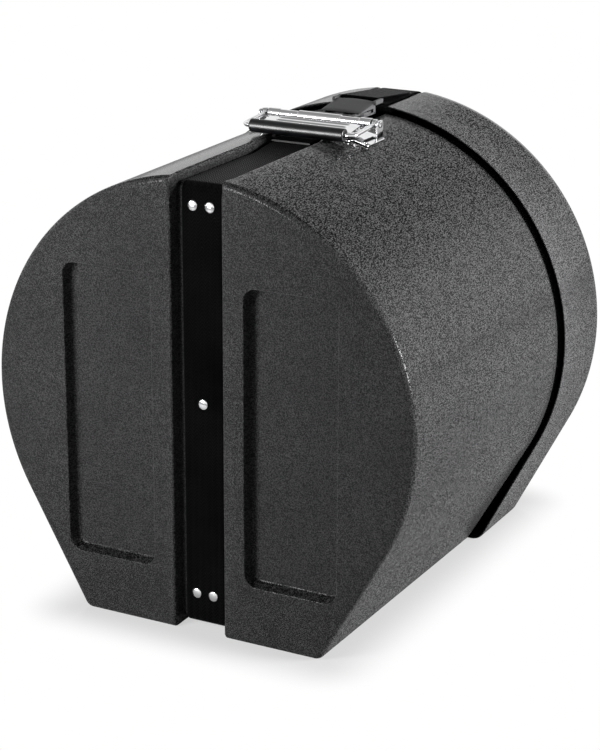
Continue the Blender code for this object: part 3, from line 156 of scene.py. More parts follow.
class Graph:
    """The node tree of a finish, with its Principled shader, or of the world."""

    def __init__(self, owner: bpy.types.Material | bpy.types.World) -> None:
        """Opens the nodes of a material or a world."""
        owner.use_nodes = True
        self.owner = owner
        self.tree = owner.node_tree

    @classmethod
    def of_finish(cls, name: str, constants: Mapping[str, float]) -> "Graph":
        """Makes a material.

        Args:
            name: The material's name.
            constants: Values of the shader's sockets that are the same all over.

        Returns:
            The material's graph.
        """
        graph = cls(bpy.data.materials.new(name))
        for socket, value in constants.items():
            graph.shader.inputs[socket].default_value = value
        return graph

    @property
    def shader(self) -> bpy.types.ShaderNode:
        """The material's Principled shader."""
        return self.tree.nodes["Principled BSDF"]

    def feed(self, target: bpy.types.NodeSocket, value: Any) -> None:
        """Links a value to a socket, or sets the socket to a number, colour or vector.

        Args:
            target: The socket.
            value: Another node's output, a number, a colour or a vector.
        """
        if isinstance(value, Socket):
            self.tree.links.new(value.output, target)
        elif isinstance(value, (int, float)):
            target.default_value = value
        else:
            size = len(target.default_value)
            target.default_value = (*value, 1.0)[:size]

    def node(
        self,
        kind: str,
        settings: Mapping[str, Any] | None = None,
        inputs: Mapping[str | int, Any] | None = None,
        output: str | int = 0,
    ) -> Socket:
        """Adds a node.

        Args:
            kind: The node's type.
            settings: Its properties, set first.
            inputs: Values or links of its sockets.
            output: The output to return.

        Returns:
            The chosen output.
        """
        made = self.tree.nodes.new(kind)
        for name, value in (settings or {}).items():
            setattr(made, name, value)
        for name, value in (inputs or {}).items():
            self.feed(made.inputs[name], value)
        return Socket(self, made.outputs[output])

    def place(self) -> Socket:
        """The place on the object, in metres."""
        return self.node("ShaderNodeTexCoord", output="Object")

    def geometry(self, output: str) -> Socket:
        """A value of the surface, such as its normal or how sharp it is."""
        return self.node("ShaderNodeNewGeometry", output=output)

    def split(self, vector: Socket) -> tuple[Socket, Socket, Socket]:
        """The three parts of a vector.

        Args:
            vector: The vector.

        Returns:
            Its X, Y and Z parts.
        """
        made = self.tree.nodes.new("ShaderNodeSeparateXYZ")
        self.feed(made.inputs[0], vector)
        x, y, z = (Socket(self, made.outputs[index]) for index in range(3))
        return x, y, z

    def noise(self, place: Socket, scale: float, detail: float = 2.0, rough: float = 0.5) -> Socket:
        """Cloudy noise from zero to one, with its clouds per metre and finer octaves."""
        return self.node(
            "ShaderNodeTexNoise", None,
            {"Vector": place, "Scale": scale, "Detail": detail, "Roughness": rough},
        )

    def pebbles(self, place: Socket, scale: float, smooth: float = 0.6) -> Socket:
        """Rounded pebbles: zero at their middles, rising towards their edges."""
        return self.node(
            "ShaderNodeTexVoronoi", {"feature": "SMOOTH_F1"},
            {"Vector": place, "Scale": scale, "Smoothness": smooth},
        )

    def stretch(self, place: Socket, scale: Place) -> Socket:
        """A place scaled along each axis."""
        return self.node("ShaderNodeVectorMath", {"operation": "MULTIPLY"}, {0: place, 1: scale})

    def slant(self) -> Socket:
        """How far the surface turns from the eye: zero face on, one edge on."""
        return self.node("ShaderNodeLayerWeight", None, {"Blend": 0.5}, "Facing")

    def mix(self, share: Socket | float, first: Any, second: Any) -> Socket:
        """A colour between two colours by a share from zero to one."""
        return self.node(
            "ShaderNodeMix", {"data_type": "RGBA"}, {0: share, 6: first, 7: second}, 2,
        )

    def bump(self, height: Socket, distance: float, strength: float = 1.0) -> Socket:
        """The surface normal tilted by a height map in metres."""
        return self.node(
            "ShaderNodeBump", None,
            {"Height": height, "Distance": distance, "Strength": strength},
        )

    def finish(self, **links: Any) -> bpy.types.Material:
        """Feeds the shader.

        Args:
            links: Values by socket name, with "_" for a space.

        Returns:
            The finished material.
        """
        for name, value in links.items():
            self.feed(self.shader.inputs[name.replace("_", " ")], value)
        return self.owner


@dataclass(frozen=True)
class MouldedPlastic:
    """Rotationally moulded polyethylene with a leathery pebble grain, with painted shade in the grain's
    valleys and on upward faces.
    """

    slot: Slot
    # dark and pale: the colours of the grain's valleys and crests; the valleys' darkness is painted shade.
    dark: Place = (0.024, 0.024, 0.0245)
    pale: Place = (0.078, 0.078, 0.079)
    # hollow: painted shade, laid on upward faces and deepest in the grain's hollows.
    hollow: Place = (0.003, 0.003, 0.0032)
    scuff: Place = (0.13, 0.13, 0.135)
    pebble_scale: float = 740.0
    stretch: Place = (1.0, 0.50, 1.0)
    grain_depth: float = 0.0055
    crest_gloss: Flat = (0.24, 1.0)
    sheen: float = 0.19
    roughness: float = 0.60
    wander_scale: float = 90.0
    cloud_scale: float = 9.0
    speck_scale: float = 60.0
    rim_glance: Flat = (0.66, 0.80)
    rim_gloss: float = 0.9

    def make(self) -> bpy.types.Material:
        """Builds the material.

        Returns:
            The material.
        """
        graph = Graph.of_finish(self.slot.value, {"Specular IOR Level": 0.02, "Coat Roughness": self.sheen})
        place = graph.stretch(graph.place(), self.stretch)
        wander = graph.noise(place, self.wander_scale)
        pebbles = 1 - graph.pebbles(place, self.pebble_scale)
        fine, coarse = (graph.noise(place, self.pebble_scale * size, 2.0, 0.6) for size in (1.7, 0.6))
        height = pebbles * 0.45 + fine * 0.45 + coarse * 0.35 + wander * 0.1
        crest = height.ease(0.58, 0.86)
        cloud = graph.noise(place, self.cloud_scale, 3.0)
        # Crests take the pale colour and valleys the dark one: painted shade in the grain's valleys, varied
        # by random cloudy tone.
        relief_shade_and_tone = crest * (0.55 + cloud * 0.9)
        worn = graph.geometry("Pointiness").ease(0.515, 0.56)
        specks = graph.noise(place, self.speck_scale, 4.0, 0.7).ease(0.66, 0.74)
        colour = graph.mix(relief_shade_and_tone, self.dark, self.pale)
        upward = graph.split(graph.geometry("Normal"))[2].ease(0.50, 0.85)
        # Upward faces are painted darker towards the hollow colour, most in the grain's hollows: painted
        # shade on the top.
        colour = graph.mix((1 - crest * 0.85) * upward, colour, self.hollow)
        colour = graph.mix(worn * (0.2 + crest * 0.5) + specks * 0.10, colour, self.scuff)
        gloss = height.ease(0.58, 0.82) * graph.slant().ease(0.25, 0.60, *self.crest_gloss)
        rim = upward * graph.slant().ease(*self.rim_glance, 0.0, self.rim_gloss)
        gloss = gloss + (1 - gloss) * rim
        return graph.finish(
            Base_Color=colour,
            Roughness=self.roughness + cloud * 0.1,
            Coat_Weight=gloss,
            Normal=graph.bump(height, self.grain_depth, 0.9),
        )


@dataclass(frozen=True)
class Webbing:
    """Heavy black webbing: ribs along the strap, crossed by a twill."""

    slot: Slot = Slot.WEBBING
    shadow: Place = (0.0002, 0.0002, 0.0003)
    yarn: Place = (0.0075, 0.0075, 0.0080)
    # The pale colour of lint specks, and a painted highlight on the strap's shiny sealed ends.
    lint_and_end_highlight: Place = (0.20, 0.20, 0.20)
    rib: float = 0.0017
    pick: float = 0.0011
    twill: float = 0.0042
    selvedge: Flat = (0.0222, 0.0236)
    sealed_end: Flat = (0.0006, 0.0011)
    relief: float = 0.0006

    def make(self) -> bpy.types.Material:
        """Builds the material from the strap's own across and along places.

        Returns:
            The material.
        """
        constants = {"Specular IOR Level": 0.008, "Sheen Weight": 0.008, "Coat Roughness": 0.30}
        graph = Graph.of_finish(self.slot.value, constants)
        flow = graph.node("ShaderNodeAttribute", {"attribute_name": "weave"}, output="Vector")
        across, along, end = graph.split(flow)
        ribs = abs((across * (pi / self.rib)).sine()) ** 0.6
        lean = across.zigzag(self.twill)
        picks = ((along + lean * 0.8) * (2 * pi / self.pick)).sine()
        lines = ((along + lean * 1.3) * (2 * pi / self.twill)).sine()
        edge = abs(across).ease(*self.selvedge)
        flat = 1 - edge
        height = (ribs * 0.6 + picks * 0.25 + lines * 0.3) * flat + edge * (0.5 + picks * 0.3)
        fuzz = graph.noise(graph.stretch(flow, (1.0, 0.25, 1.0)), 900.0, 3.0, 0.7)
        fade = graph.noise(graph.place(), 14.0, 3.0)
        # The weave's low places take the shadow colour: painted shade in the weave, with random fibre and
        # fade tone on top.
        relief_shade_and_tone = (height * 0.55 + fuzz * 0.5) * (0.55 + fade * 0.9)
        colour = graph.mix(relief_shade_and_tone.ease(0.38, 0.95), self.shadow, self.yarn)
        lint = graph.noise(flow, 260.0, 2.0, 0.5).ease(0.74, 0.80)
        shine = (height + fuzz * 0.4).ease(0.45, 1.0) * graph.slant().ease(0.50, 0.80, 0.0, 0.40)
        # A pale band at each cut end is a painted highlight on the shiny sealed webbing; the lint specks
        # are real.
        end_highlight = end.ease(*self.sealed_end, 1.0, 0.0) * (0.35 + fuzz * 0.65)
        colour = graph.mix(end_highlight + lint * 0.12, colour, self.lint_and_end_highlight)
        return graph.finish(
            Base_Color=colour,
            Roughness=0.50 + fuzz * 0.35,
            Coat_Weight=shine,
            Normal=graph.bump(height + fuzz * 0.35, self.relief),
        )


@dataclass(frozen=True)
class PlatedMetal:
    """Bright plated or drawn metal, with fine rub marks and a little haze."""

    slot: Slot
    colour: Place = (0.92, 0.92, 0.93)
    dull: Place = (0.50, 0.50, 0.51)
    roughness: float = 0.06
    haze: float = 0.10
    rub_scale: Place = (40.0, 900.0, 900.0)
    ripple: float = 0.00003
    cloud_scale: float = 55.0
    spot_scale: float = 420.0
    ripple_scale: float = 70.0

    def make(self) -> bpy.types.Material:
        """Builds the material.

        Returns:
            The material.
        """
        graph = Graph.of_finish(self.slot.value, {"Metallic": 1.0})
        place = graph.place()
        rubs = graph.noise(graph.stretch(place, self.rub_scale), 1.0, 3.0, 0.7)
        cloud = graph.noise(place, self.cloud_scale, 3.0)
        spots = graph.noise(place, self.spot_scale, 2.0, 0.6).ease(0.70, 0.80)
        tarnish = cloud.ease(0.45, 0.75) * 0.18 + spots * 0.35
        colour = graph.mix(tarnish, self.colour, self.dull)
        rough = self.roughness + (cloud.ease(0.35, 0.8) * 0.5 + rubs.ease(0.55, 0.75)) * self.haze
        height = graph.noise(place, self.ripple_scale, 1.0) + rubs * 0.15
        return graph.finish(
            Base_Color=colour, Roughness=rough + spots * 0.2,
            Normal=graph.bump(height, self.ripple, 0.6),
        )


@dataclass(frozen=True)
class GripRubber:
    """Smooth black rubber with faint lengthwise draw lines and hand polish."""

    slot: Slot = Slot.RUBBER
    dark: Place = (0.002, 0.002, 0.0024)
    bloom: Place = (0.016, 0.0170, 0.021)
    draw_lines: Place = (14.0, 700.0, 700.0)
    cloud_scale: float = 60.0
    dust_scale: float = 900.0
    relief: float = 0.00006

    def make(self) -> bpy.types.Material:
        """Builds the material.

        Returns:
            The material.
        """
        graph = Graph.of_finish(self.slot.value, {"Specular IOR Level": 0.60})
        place = graph.place()
        lines = graph.noise(graph.stretch(place, self.draw_lines), 1.0, 3.0, 0.6)
        cloud = graph.noise(place, self.cloud_scale, 3.0)
        dust = graph.noise(place, self.dust_scale, 2.0, 0.6).ease(0.66, 0.76)
        colour = graph.mix(cloud.ease(0.4, 0.8) * 0.5 + dust * 0.3, self.dark, self.bloom)
        rough = 0.24 + lines.ease(0.4, 0.7) * 0.10 + cloud * 0.08 + dust * 0.2
        return graph.finish(
            Base_Color=colour, Roughness=rough, Normal=graph.bump(lines, self.relief, 0.5),
        )


@dataclass(frozen=True)
class BuckleAcetal:
    """Injection moulded acetal with a fine spark finish."""

    slot: Slot = Slot.ACETAL
    dark: Place = (0.028, 0.028, 0.029)
    pale: Place = (0.072, 0.072, 0.074)
    rubbed: Place = (0.11, 0.11, 0.115)
    spark_scale: float = 2600.0
    cloud_scale: float = 45.0
    flow_marks: Place = (900.0, 60.0, 900.0)
    relief: float = 0.00006

    def make(self) -> bpy.types.Material:
        """Builds the material.

        Returns:
            The material.
        """
        graph = Graph.of_finish(self.slot.value, {"Specular IOR Level": 0.28})
        place = graph.place()
        spark = graph.noise(place, self.spark_scale, 3.0, 0.65)
        cloud = graph.noise(place, self.cloud_scale, 3.0)
        worn = graph.geometry("Pointiness").ease(0.53, 0.62)
        marks = graph.noise(graph.stretch(place, self.flow_marks), 1.0, 2.0).ease(0.66, 0.75)
        colour = graph.mix(spark * 0.5 + cloud * 0.5, self.dark, self.pale)
        colour = graph.mix(worn * 0.4 + marks * 0.15, colour, self.rubbed)
        rough = 0.40 + spark * 0.16 + cloud * 0.08 - worn * 0.08
        return graph.finish(
            Base_Color=colour, Roughness=rough,
            Normal=graph.bump(spark + marks * 0.5, self.relief, 0.6),
        )


@dataclass(frozen=True)
class OpenFoam:
    """Charcoal cell foam with pores and a dusty bloom."""

    slot: Slot = Slot.FOAM
    # The pores' colour: painted shade in the foam's pores.
    pore_shade: Place = (0.008, 0.008, 0.009)
    skin: Place = (0.055, 0.055, 0.058)
    pore_scale: float = 700.0
    cell_scale: float = 260.0
    cloud_scale: float = 30.0
    relief: float = 0.0006

    def make(self) -> bpy.types.Material:
        """Builds the material.

        Returns:
            The material.
        """
        graph = Graph.of_finish(self.slot.value, {"Specular IOR Level": 0.15, "Sheen Weight": 0.2})
        place = graph.place()
        pores = graph.pebbles(place, self.pore_scale, 0.2)
        large = graph.pebbles(place, self.cell_scale, 0.3)
        cloud = graph.noise(place, self.cloud_scale, 4.0)
        height = pores.ease(0.1, 0.55) * 0.6 + large.ease(0.1, 0.6) * 0.4
        # Pore middles take the dark pore colour: painted shade in the cells, varied by random cloudy tone.
        colour = graph.mix(height * (0.6 + cloud * 0.7), self.pore_shade, self.skin)
        return graph.finish(
            Base_Color=colour, Roughness=0.82 + cloud * 0.15,
            Normal=graph.bump(height, self.relief, 0.8),
        )


class Workshop:
    """Makes the finishes once, and dresses pieces in them."""

    def __init__(self, finishes: Iterable[Any]) -> None:
        """Builds the material of each finish, by its slot."""
        self.materials = {finish.slot: finish.make() for finish in finishes}
        self.count = 0

    def dress(self, piece: Piece, name: str, slot: Slot, body: Body, node: str) -> None:
        """Gives a piece its name, its finish and its body.

        Args:
            piece: The mesh object, in place.
            name: Its name.
            slot: The finish.
            body: The body it rides on.
            node: The CAD node that it replaces.
        """
        piece.name = piece.data.name = name
        piece.data.materials.clear()
        piece.data.materials.append(self.materials[slot])
        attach(piece, body.value)
        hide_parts(node)
        self.count += 1
        LOG.info("%s: %d faces on %s", name, len(piece.data.polygons), body.value)


def arc(centre: Flat, radius: float, start: float, end: float, steps: int) -> list[Flat]:
    """Points on an arc from one angle to another, both ends included."""
    return [
        (
            centre[0] + radius * cos(start + (end - start) * index / steps),
            centre[1] + radius * sin(start + (end - start) * index / steps),
        )
        for index in range(steps + 1)
    ]


def sweep(steps: int, full: float = pi / 2) -> list[Flat]:
    """Sines and cosines of evenly spaced angles, from zero to a full angle."""
    angles = [full * index / steps for index in range(steps + 1)]
    return [(sin(angle), cos(angle)) for angle in angles]


def add_object(name: str, data: bpy.types.ID) -> Piece:
    """Puts a mesh, curve, lamp or camera in the scene.

    Args:
        data: What it holds.

    Returns:
        The object.
    """
    made = bpy.data.objects.new(name, data)
    bpy.context.scene.collection.objects.link(made)
    return made


def from_bmesh(work: bmesh.types.BMesh, turn_out: bool = True) -> Piece:
    """Makes an object of a bmesh.

    Args:
        work: The bmesh, which is freed.
        turn_out: Whether to turn its faces outwards.

    Returns:
        The object.
    """
    if turn_out:
        bmesh.ops.recalc_face_normals(work, faces=work.faces)
    mesh = bpy.data.meshes.new("piece")
    work.to_mesh(mesh)
    work.free()
    return add_object("piece", mesh)


def loft(rings: Sequence[Sequence[Place]]) -> Piece:
    """Joins rings of equal count into a closed solid.

    Args:
        rings: The rings in order.

    Returns:
        The solid.
    """
    work = bmesh.new()
    rows = [[work.verts.new(point) for point in ring] for ring in rings]
    for low, high in zip(rows, rows[1:]):
        for index, corner in enumerate(low):
            after = (index + 1) % len(low)
            work.faces.new((corner, low[after], high[after], high[index]))
    work.faces.new(rows[0])
    work.faces.new(rows[-1])
    return from_bmesh(work)


def smooth(piece: Piece, angle: float) -> Piece:
    """Shades a piece smooth between its sharp edges, led by its large faces.

    Args:
        piece: The piece.
        angle: The angle in degrees from which an edge stays sharp.

    Returns:
        The piece.
    """
    piece.data.shade_smooth()
    piece.data.set_sharp_from_angle(angle=radians(angle))
    step = piece.modifiers.new("lay_normals", "WEIGHTED_NORMAL")
    step.keep_sharp = True
    step.weight = NORMAL_WEIGHT
    return piece


def settle(piece: Piece, helpers: Iterable[Piece] = ()) -> Piece:
    """Applies a piece's modifiers and removes the objects that they used.

    Args:
        piece: The piece.
        helpers: The objects that its modifiers used.

    Returns:
        The piece.
    """
    bpy.context.view_layer.update()
    evaluated = piece.evaluated_get(bpy.context.evaluated_depsgraph_get())
    mesh = bpy.data.meshes.new_from_object(evaluated)
    piece.modifiers.clear()
    old = piece.data
    piece.data = mesh
    bpy.data.meshes.remove(old)
    for helper in list(helpers):
        bpy.data.objects.remove(helper)
    return piece


def carve(target: Piece, others: Sequence[Piece]) -> None:
    """Cuts objects from a target and removes them.

    Args:
        target: The target.
        others: The objects to cut away.
    """
    for other in others:
        step = target.modifiers.new("cut", "BOOLEAN")
        step.operation = "DIFFERENCE"
        step.solver = "EXACT"
        step.object = other
    settle(target, others)


def gather(pieces: Sequence[Piece]) -> Piece:
    """Joins meshes into one object without changing them.

    Args:
        pieces: The pieces to join.

    Returns:
        The object.
    """
    work = bmesh.new()
    for piece in pieces:
        work.from_mesh(piece.data)
        old = piece.data
        bpy.data.objects.remove(piece)
        bpy.data.meshes.remove(old)
    return from_bmesh(work, False)


def rounded_box(low: Place, high: Place, edge: float, steps: int = 3) -> Piece:
    """A box between two corners with rounded edges.

    Args:
        low: The corner with the low places.
        high: The corner with the high places.
        edge: The radius of its edges.
        steps: Facets across an edge.

    Returns:
        The box.
    """
    work = bmesh.new()
    size = Vector(high) - Vector(low)
    middle = (Vector(high) + Vector(low)) / 2
    bmesh.ops.create_cube(
        work, size=1, matrix=Matrix.Translation(middle) @ Matrix.Diagonal((*size, 1)),
    )
    if edge:
        bmesh.ops.bevel(
            work, geom=list(work.edges), offset=edge, segments=steps, profile=0.5, affect="EDGES",
        )
    return from_bmesh(work)


def turned(
    profile: Sequence[Flat], seat: Place, outward: Place, steps: int = 40,
    closed: bool = False,
) -> Piece:
    """A profile turned about an axis.

    Args:
        profile: Radius and height pairs; a zero radius closes an end to a point.
        seat: The axis's start.
        outward: The axis's direction.
        steps: Facets round the axis.
        closed: Whether the profile is a loop, as a washer's is.

    Returns:
        The turned solid.
    """
    axis = Vector(outward).normalized()
    turn = axis.to_track_quat("Z", "Y").to_matrix()
    work = bmesh.new()
    rows: list[list[bmesh.types.BMVert]] = []
    for radius, height in profile:
        count = steps if radius > 0 else 1
        row = []
        for index in range(count):
            angle = 2 * pi * index / count
            spot = Vector((radius * cos(angle), radius * sin(angle), height))
            row.append(work.verts.new(Vector(seat) + turn @ spot))
        rows.append(row)
    pairs = list(zip(rows, rows[1:]))
    if closed:
        pairs.append((rows[-1], rows[0]))
    for low, high in pairs:
        for index in range(steps):
            after = (index + 1) % steps
            corners = [low[index % len(low)], low[after % len(low)],
                       high[after % len(high)], high[index % len(high)]]
            unique = list(dict.fromkeys(corners))
            if len(unique) > 2:
                work.faces.new(unique)
    return from_bmesh(work)


def mirrored(half: Sequence[Flat]) -> list[Flat]:
    """The whole of a turned profile, from the half of it past its middle."""
    return [(radius, -place) for radius, place in reversed(half) if place > 0] + list(half)


def ring_section(bore: float, radius: float, low: float, high: float, edge: float) -> list[Flat]:
    """A ring's section as a loop with cut corners, as radius against height."""
    return [
        (bore, low + edge), (bore + edge, low), (radius - edge, low), (radius, low + edge),
        (radius, high - edge), (radius - edge, high), (bore + edge, high), (bore, high - edge),
    ]


def round_corners(points: Sequence[Flat], radius: float, steps: int = 5) -> list[Flat]:
    """Rounds the corners of a flat outline.

    Args:
        points: The outline's corners in order.
        radius: The corner radius, made smaller where a side is short.
        steps: Facets on each corner.

    Returns:
        The rounded outline.
    """
    result: list[Flat] = []
    count = len(points)
    for index, point in enumerate(points):
        here = Vector(point)
        before = Vector(points[index - 1]) - here
        after = Vector(points[(index + 1) % count]) - here
        half = before.angle(after) / 2
        reach = min(radius / tan(half), before.length * 0.48, after.length * 0.48)
        start = here + before.normalized() * reach
        end = here + after.normalized() * reach
        for step in range(steps + 1):
            share = step / steps
            spot = start * (1 - share) ** 2 + here * 2 * share * (1 - share) + end * share ** 2
            result.append((spot.x, spot.y))
    return result


def curve_mesh(loops: Sequence[Sequence[Place]], closed: bool, **settings: Any) -> bpy.types.Mesh:
    """Makes the mesh of a curve.

    Args:
        loops: The points of each of its splines.
        closed: Whether the splines close on themselves.
        settings: The curve's properties, in the order in which they are set.

    Returns:
        The mesh.
    """
    curve = bpy.data.curves.new("outline", "CURVE")
    for setting, value in settings.items():
        setattr(curve, setting, value)
    for points in loops:
        spline = curve.splines.new("POLY")
        spline.points.add(len(points) - 1)
        for target, point in zip(spline.points, points):
            target.co = (*point, 1)
        spline.use_cyclic_u = closed
    holder = add_object("outline", curve)
    bpy.context.view_layer.update()
    mesh = bpy.data.meshes.new_from_object(
        holder.evaluated_get(bpy.context.evaluated_depsgraph_get())
    )
    bpy.data.objects.remove(holder)
    return mesh


def flat_plate(
    outer: Sequence[Flat], holes: Sequence[Sequence[Flat]], thick: float, edge: float,
) -> Piece:
    """A flat plate about z = 0 with rounded edges, outside and round its holes.

    Args:
        outer: The outline.
        holes: The outlines of its holes.
        thick: The whole thickness.
        edge: The radius of its rounded edges.

    Returns:
        The plate.
    """
    loops = [[(x, y, 0) for x, y in points] for points in (outer, *holes)]
    mesh = curve_mesh(loops, True, dimensions="2D", fill_mode="BOTH", extrude=thick / 2 - edge,
                      bevel_depth=edge, bevel_resolution=2, offset=-edge)
    work = bmesh.new()
    work.from_mesh(mesh)
    bpy.data.meshes.remove(mesh)
    bmesh.ops.remove_doubles(work, verts=work.verts, dist=MERGE_DISTANCE)
    return from_bmesh(work)


def slice_along(piece: Piece, axis: int, places: Iterable[float]) -> None:
    """Cuts a mesh's faces at places along an axis, so that it can be bent.

    Args:
        piece: The piece.
        axis: Zero, one or two for X, Y or Z.
        places: Where to cut.
    """
    work = bmesh.new()
    work.from_mesh(piece.data)
    normal = Vector((0, 0, 0))
    normal[axis] = 1
    for place in places:
        bmesh.ops.bisect_plane(
            work, geom=[*work.verts, *work.edges, *work.faces], plane_co=normal * place,
            plane_no=normal, dist=CUT_DISTANCE,
        )
    work.to_mesh(piece.data)
    work.free()


def reshape(piece: Piece, change: Callable[[Vector], Vector]) -> Piece:
    """Moves each point of a mesh by a function of its place.

    Args:
        piece: The piece.
        change: Gives a point's new place.

    Returns:
        The piece.
    """
    for corner in piece.data.vertices:
        corner.co = change(corner.co.copy())
    piece.data.update()
    return piece


def wire(
    points: Sequence[Place], radius: float, resolution: int, cyclic: bool = False,
) -> Piece:
    """A round wire through points, open or closed on itself."""
    mesh = curve_mesh([points], cyclic, dimensions="3D", bevel_depth=radius,
                      bevel_resolution=resolution, use_fill_caps=True)
    return add_object("wire", mesh)


@dataclass
class CaseForm:
    """The case's shared form: its outline, the places along its depth, and its channel."""

    depth: float = 0.5547
    base_radius: float = 0.2700
    foot_cut: float = 0.0005
    front_draft: float = 0.0037
    base_foot_half: float = 0.1580
    base_foot_fillet: float = 0.0120
    front_fillet: float = 0.0066
    wall: float = 0.0045
    shoulder_to_seam: float = 0.0098
    shoulder_fillet: float = 0.0050
    neck_step: float = 0.0030
    neck_length: float = 0.0500
    lid_depth: float = 0.1469
    lid_step: float = 0.0067
    lid_foot_step: float = 0.0150
    lid_foot_fillet: float = 0.0180
    lid_back_fillet: float = 0.0450
    lip_edge: float = 0.0014
    lip_chamfer: float = 0.0070
    fit: float = 0.0003
    overrun: float = 0.0040
    strap_half: float = 0.0250
    strap_thick: float = 0.0020
    channel_side_gap: float = 0.0070
    arc_steps: int = 168
    foot_steps: int = 8
    fillet_steps: int = 7
    back_steps: int = 18

    def __post_init__(self) -> None:
        """Works out the shared places; seam, shoulder and neck_end count from the front face."""
        self.front_y, self.back_y = -self.depth / 2, self.depth / 2
        self.seam = self.depth - self.lid_depth
        self.shoulder = self.seam - self.shoulder_to_seam
        self.neck_end = self.seam + self.neck_length
        self.neck_bottom = self.wall + self.fit
        self.centre_height = self.base_radius - self.foot_cut
        self.base_top = self.centre_height + self.base_radius
        self.lid_radius = self.base_radius + self.lid_step
        self.lid_top = self.centre_height + self.lid_radius
        self.lid_foot_half = self.base_foot_half + self.lid_foot_step
        self.channel_half = self.strap_half + self.channel_side_gap
        self.base_tilt = self.tilt(self.base_radius, self.base_foot_half)
        self.lid_tilt = self.tilt(self.lid_radius, self.lid_foot_half)

    def from_front(self, distance: float) -> float:
        """The Y place at a distance behind the front face."""
        return self.front_y + distance

    def shell_radius(self, distance: float) -> float:
        """The base's radius at a distance behind the front face, with its draft."""
        share = min(distance / self.shoulder, 1)
        return self.base_radius - self.front_draft * (1 - share)

    def tilt(self, radius: float, foot_half: float) -> float:
        """The angle at which the slanted side touches the round."""
        reach = hypot(foot_half, self.centre_height)
        return atan2(-self.centre_height, foot_half) + acos(radius / reach)

    def ring(
        self, distance: float, radius: float, tilt: float, bottom: float, fillet: float,
    ) -> list[Place]:
        """The case's outline at one distance: a round with slanted sides and a flat foot.

        Args:
            distance: How far behind the front face.
            radius: The round's radius.
            tilt: The angle at which a side leaves the round.
            bottom: The foot's height.
            fillet: The radius between side and foot, which the lip's edge limits.

        Returns:
            The ring's points.
        """
        y = self.from_front(distance)
        fillet = max(fillet, self.lip_edge)
        corner_z = bottom + fillet - self.centre_height
        corner_x = (radius - fillet - sin(tilt) * corner_z) / cos(tilt)
        right = arc((corner_x, bottom + fillet), fillet, -pi / 2, tilt, self.foot_steps)
        top = arc((0, self.centre_height), radius, tilt, pi - tilt, self.arc_steps)
        left = [(-x, z) for x, z in reversed(right)]
        return [(x, y, z) for x, z in right + top + left]


@dataclass
class PressedPanel:
    """A recessed panel with a rounded mouth, drafted sides and a rounded floor."""

    form: CaseForm
    to_channel: float = 0.0270
    corner: float = 0.0150
    depth: float = 0.0160
    mouth_round: float = 0.0015
    draft: float = 0.0014
    floor_round: float = 0.0035

    def rectangle(self, limits: Sequence[float], inset: float) -> list[Flat]:
        """The panel's outline moved in by an inset.

        Args:
            limits: Low and high X, then low and high Z.
            inset: How far to move it in.

        Returns:
            The outline's points.
        """
        x_low, x_high, z_low, z_high = limits
        x_low, x_high = x_low + inset, x_high - inset
        z_low, z_high = z_low + inset, z_high - inset
        corner = self.corner - inset
        points: list[Flat] = []
        for x, z, start in (
            (x_high - corner, z_low + corner, -pi / 2),
            (x_high - corner, z_high - corner, 0),
            (x_low + corner, z_high - corner, pi / 2),
            (x_low + corner, z_low + corner, pi),
        ):
            points += arc((x, z), corner, start, start + pi / 2, self.form.foot_steps)
        return points

    def cutter(self, face_y: float, inward: int, limits: Sequence[float], grow: float) -> Piece:
        """The solid to cut from a face.

        Args:
            face_y: The face's Y place.
            inward: The sign of the way into the case.
            limits: Low and high X, then low and high Z.
            grow: A wall's thickness, to keep behind the panel.

        Returns:
            The cutter.
        """
        turns = sweep(self.form.fillet_steps)
        mouth, floor = self.mouth_round, self.floor_round
        steps = [(-mouth, -self.form.overrun)]
        steps += [(-mouth * (1 - sine), mouth * (1 - cosine)) for sine, cosine in turns]
        steps += [
            (self.draft + floor * (1 - cosine), self.depth - floor * (1 - sine)) for sine, cosine in turns
        ]
        rings = []
        for inset, depth in steps:
            reach = depth + grow if depth > 0 else depth
            section = self.rectangle(limits, inset - grow)
            y = face_y + inward * reach
            rings.append([(x, y, z) for x, z in section])
        return loft(rings)

    def pair(self, face_y: float, inward: int, reach: Sequence[float], grow: float) -> list[Piece]:
        """The cutters of the panels left and right of the channel.

        Args:
            face_y: The face's Y place.
            inward: The sign of the way into the case.
            reach: The outer edge's distance from the middle, then low and high Z.
            grow: A wall's thickness, to keep behind the panels.

        Returns:
            The two cutters.
        """
        inner = self.form.channel_half + self.to_channel
        outer, *heights = reach
        return [
            self.cutter(face_y, inward, (*side.edges(inner, outer), *heights), grow)
            for side in Side
        ]


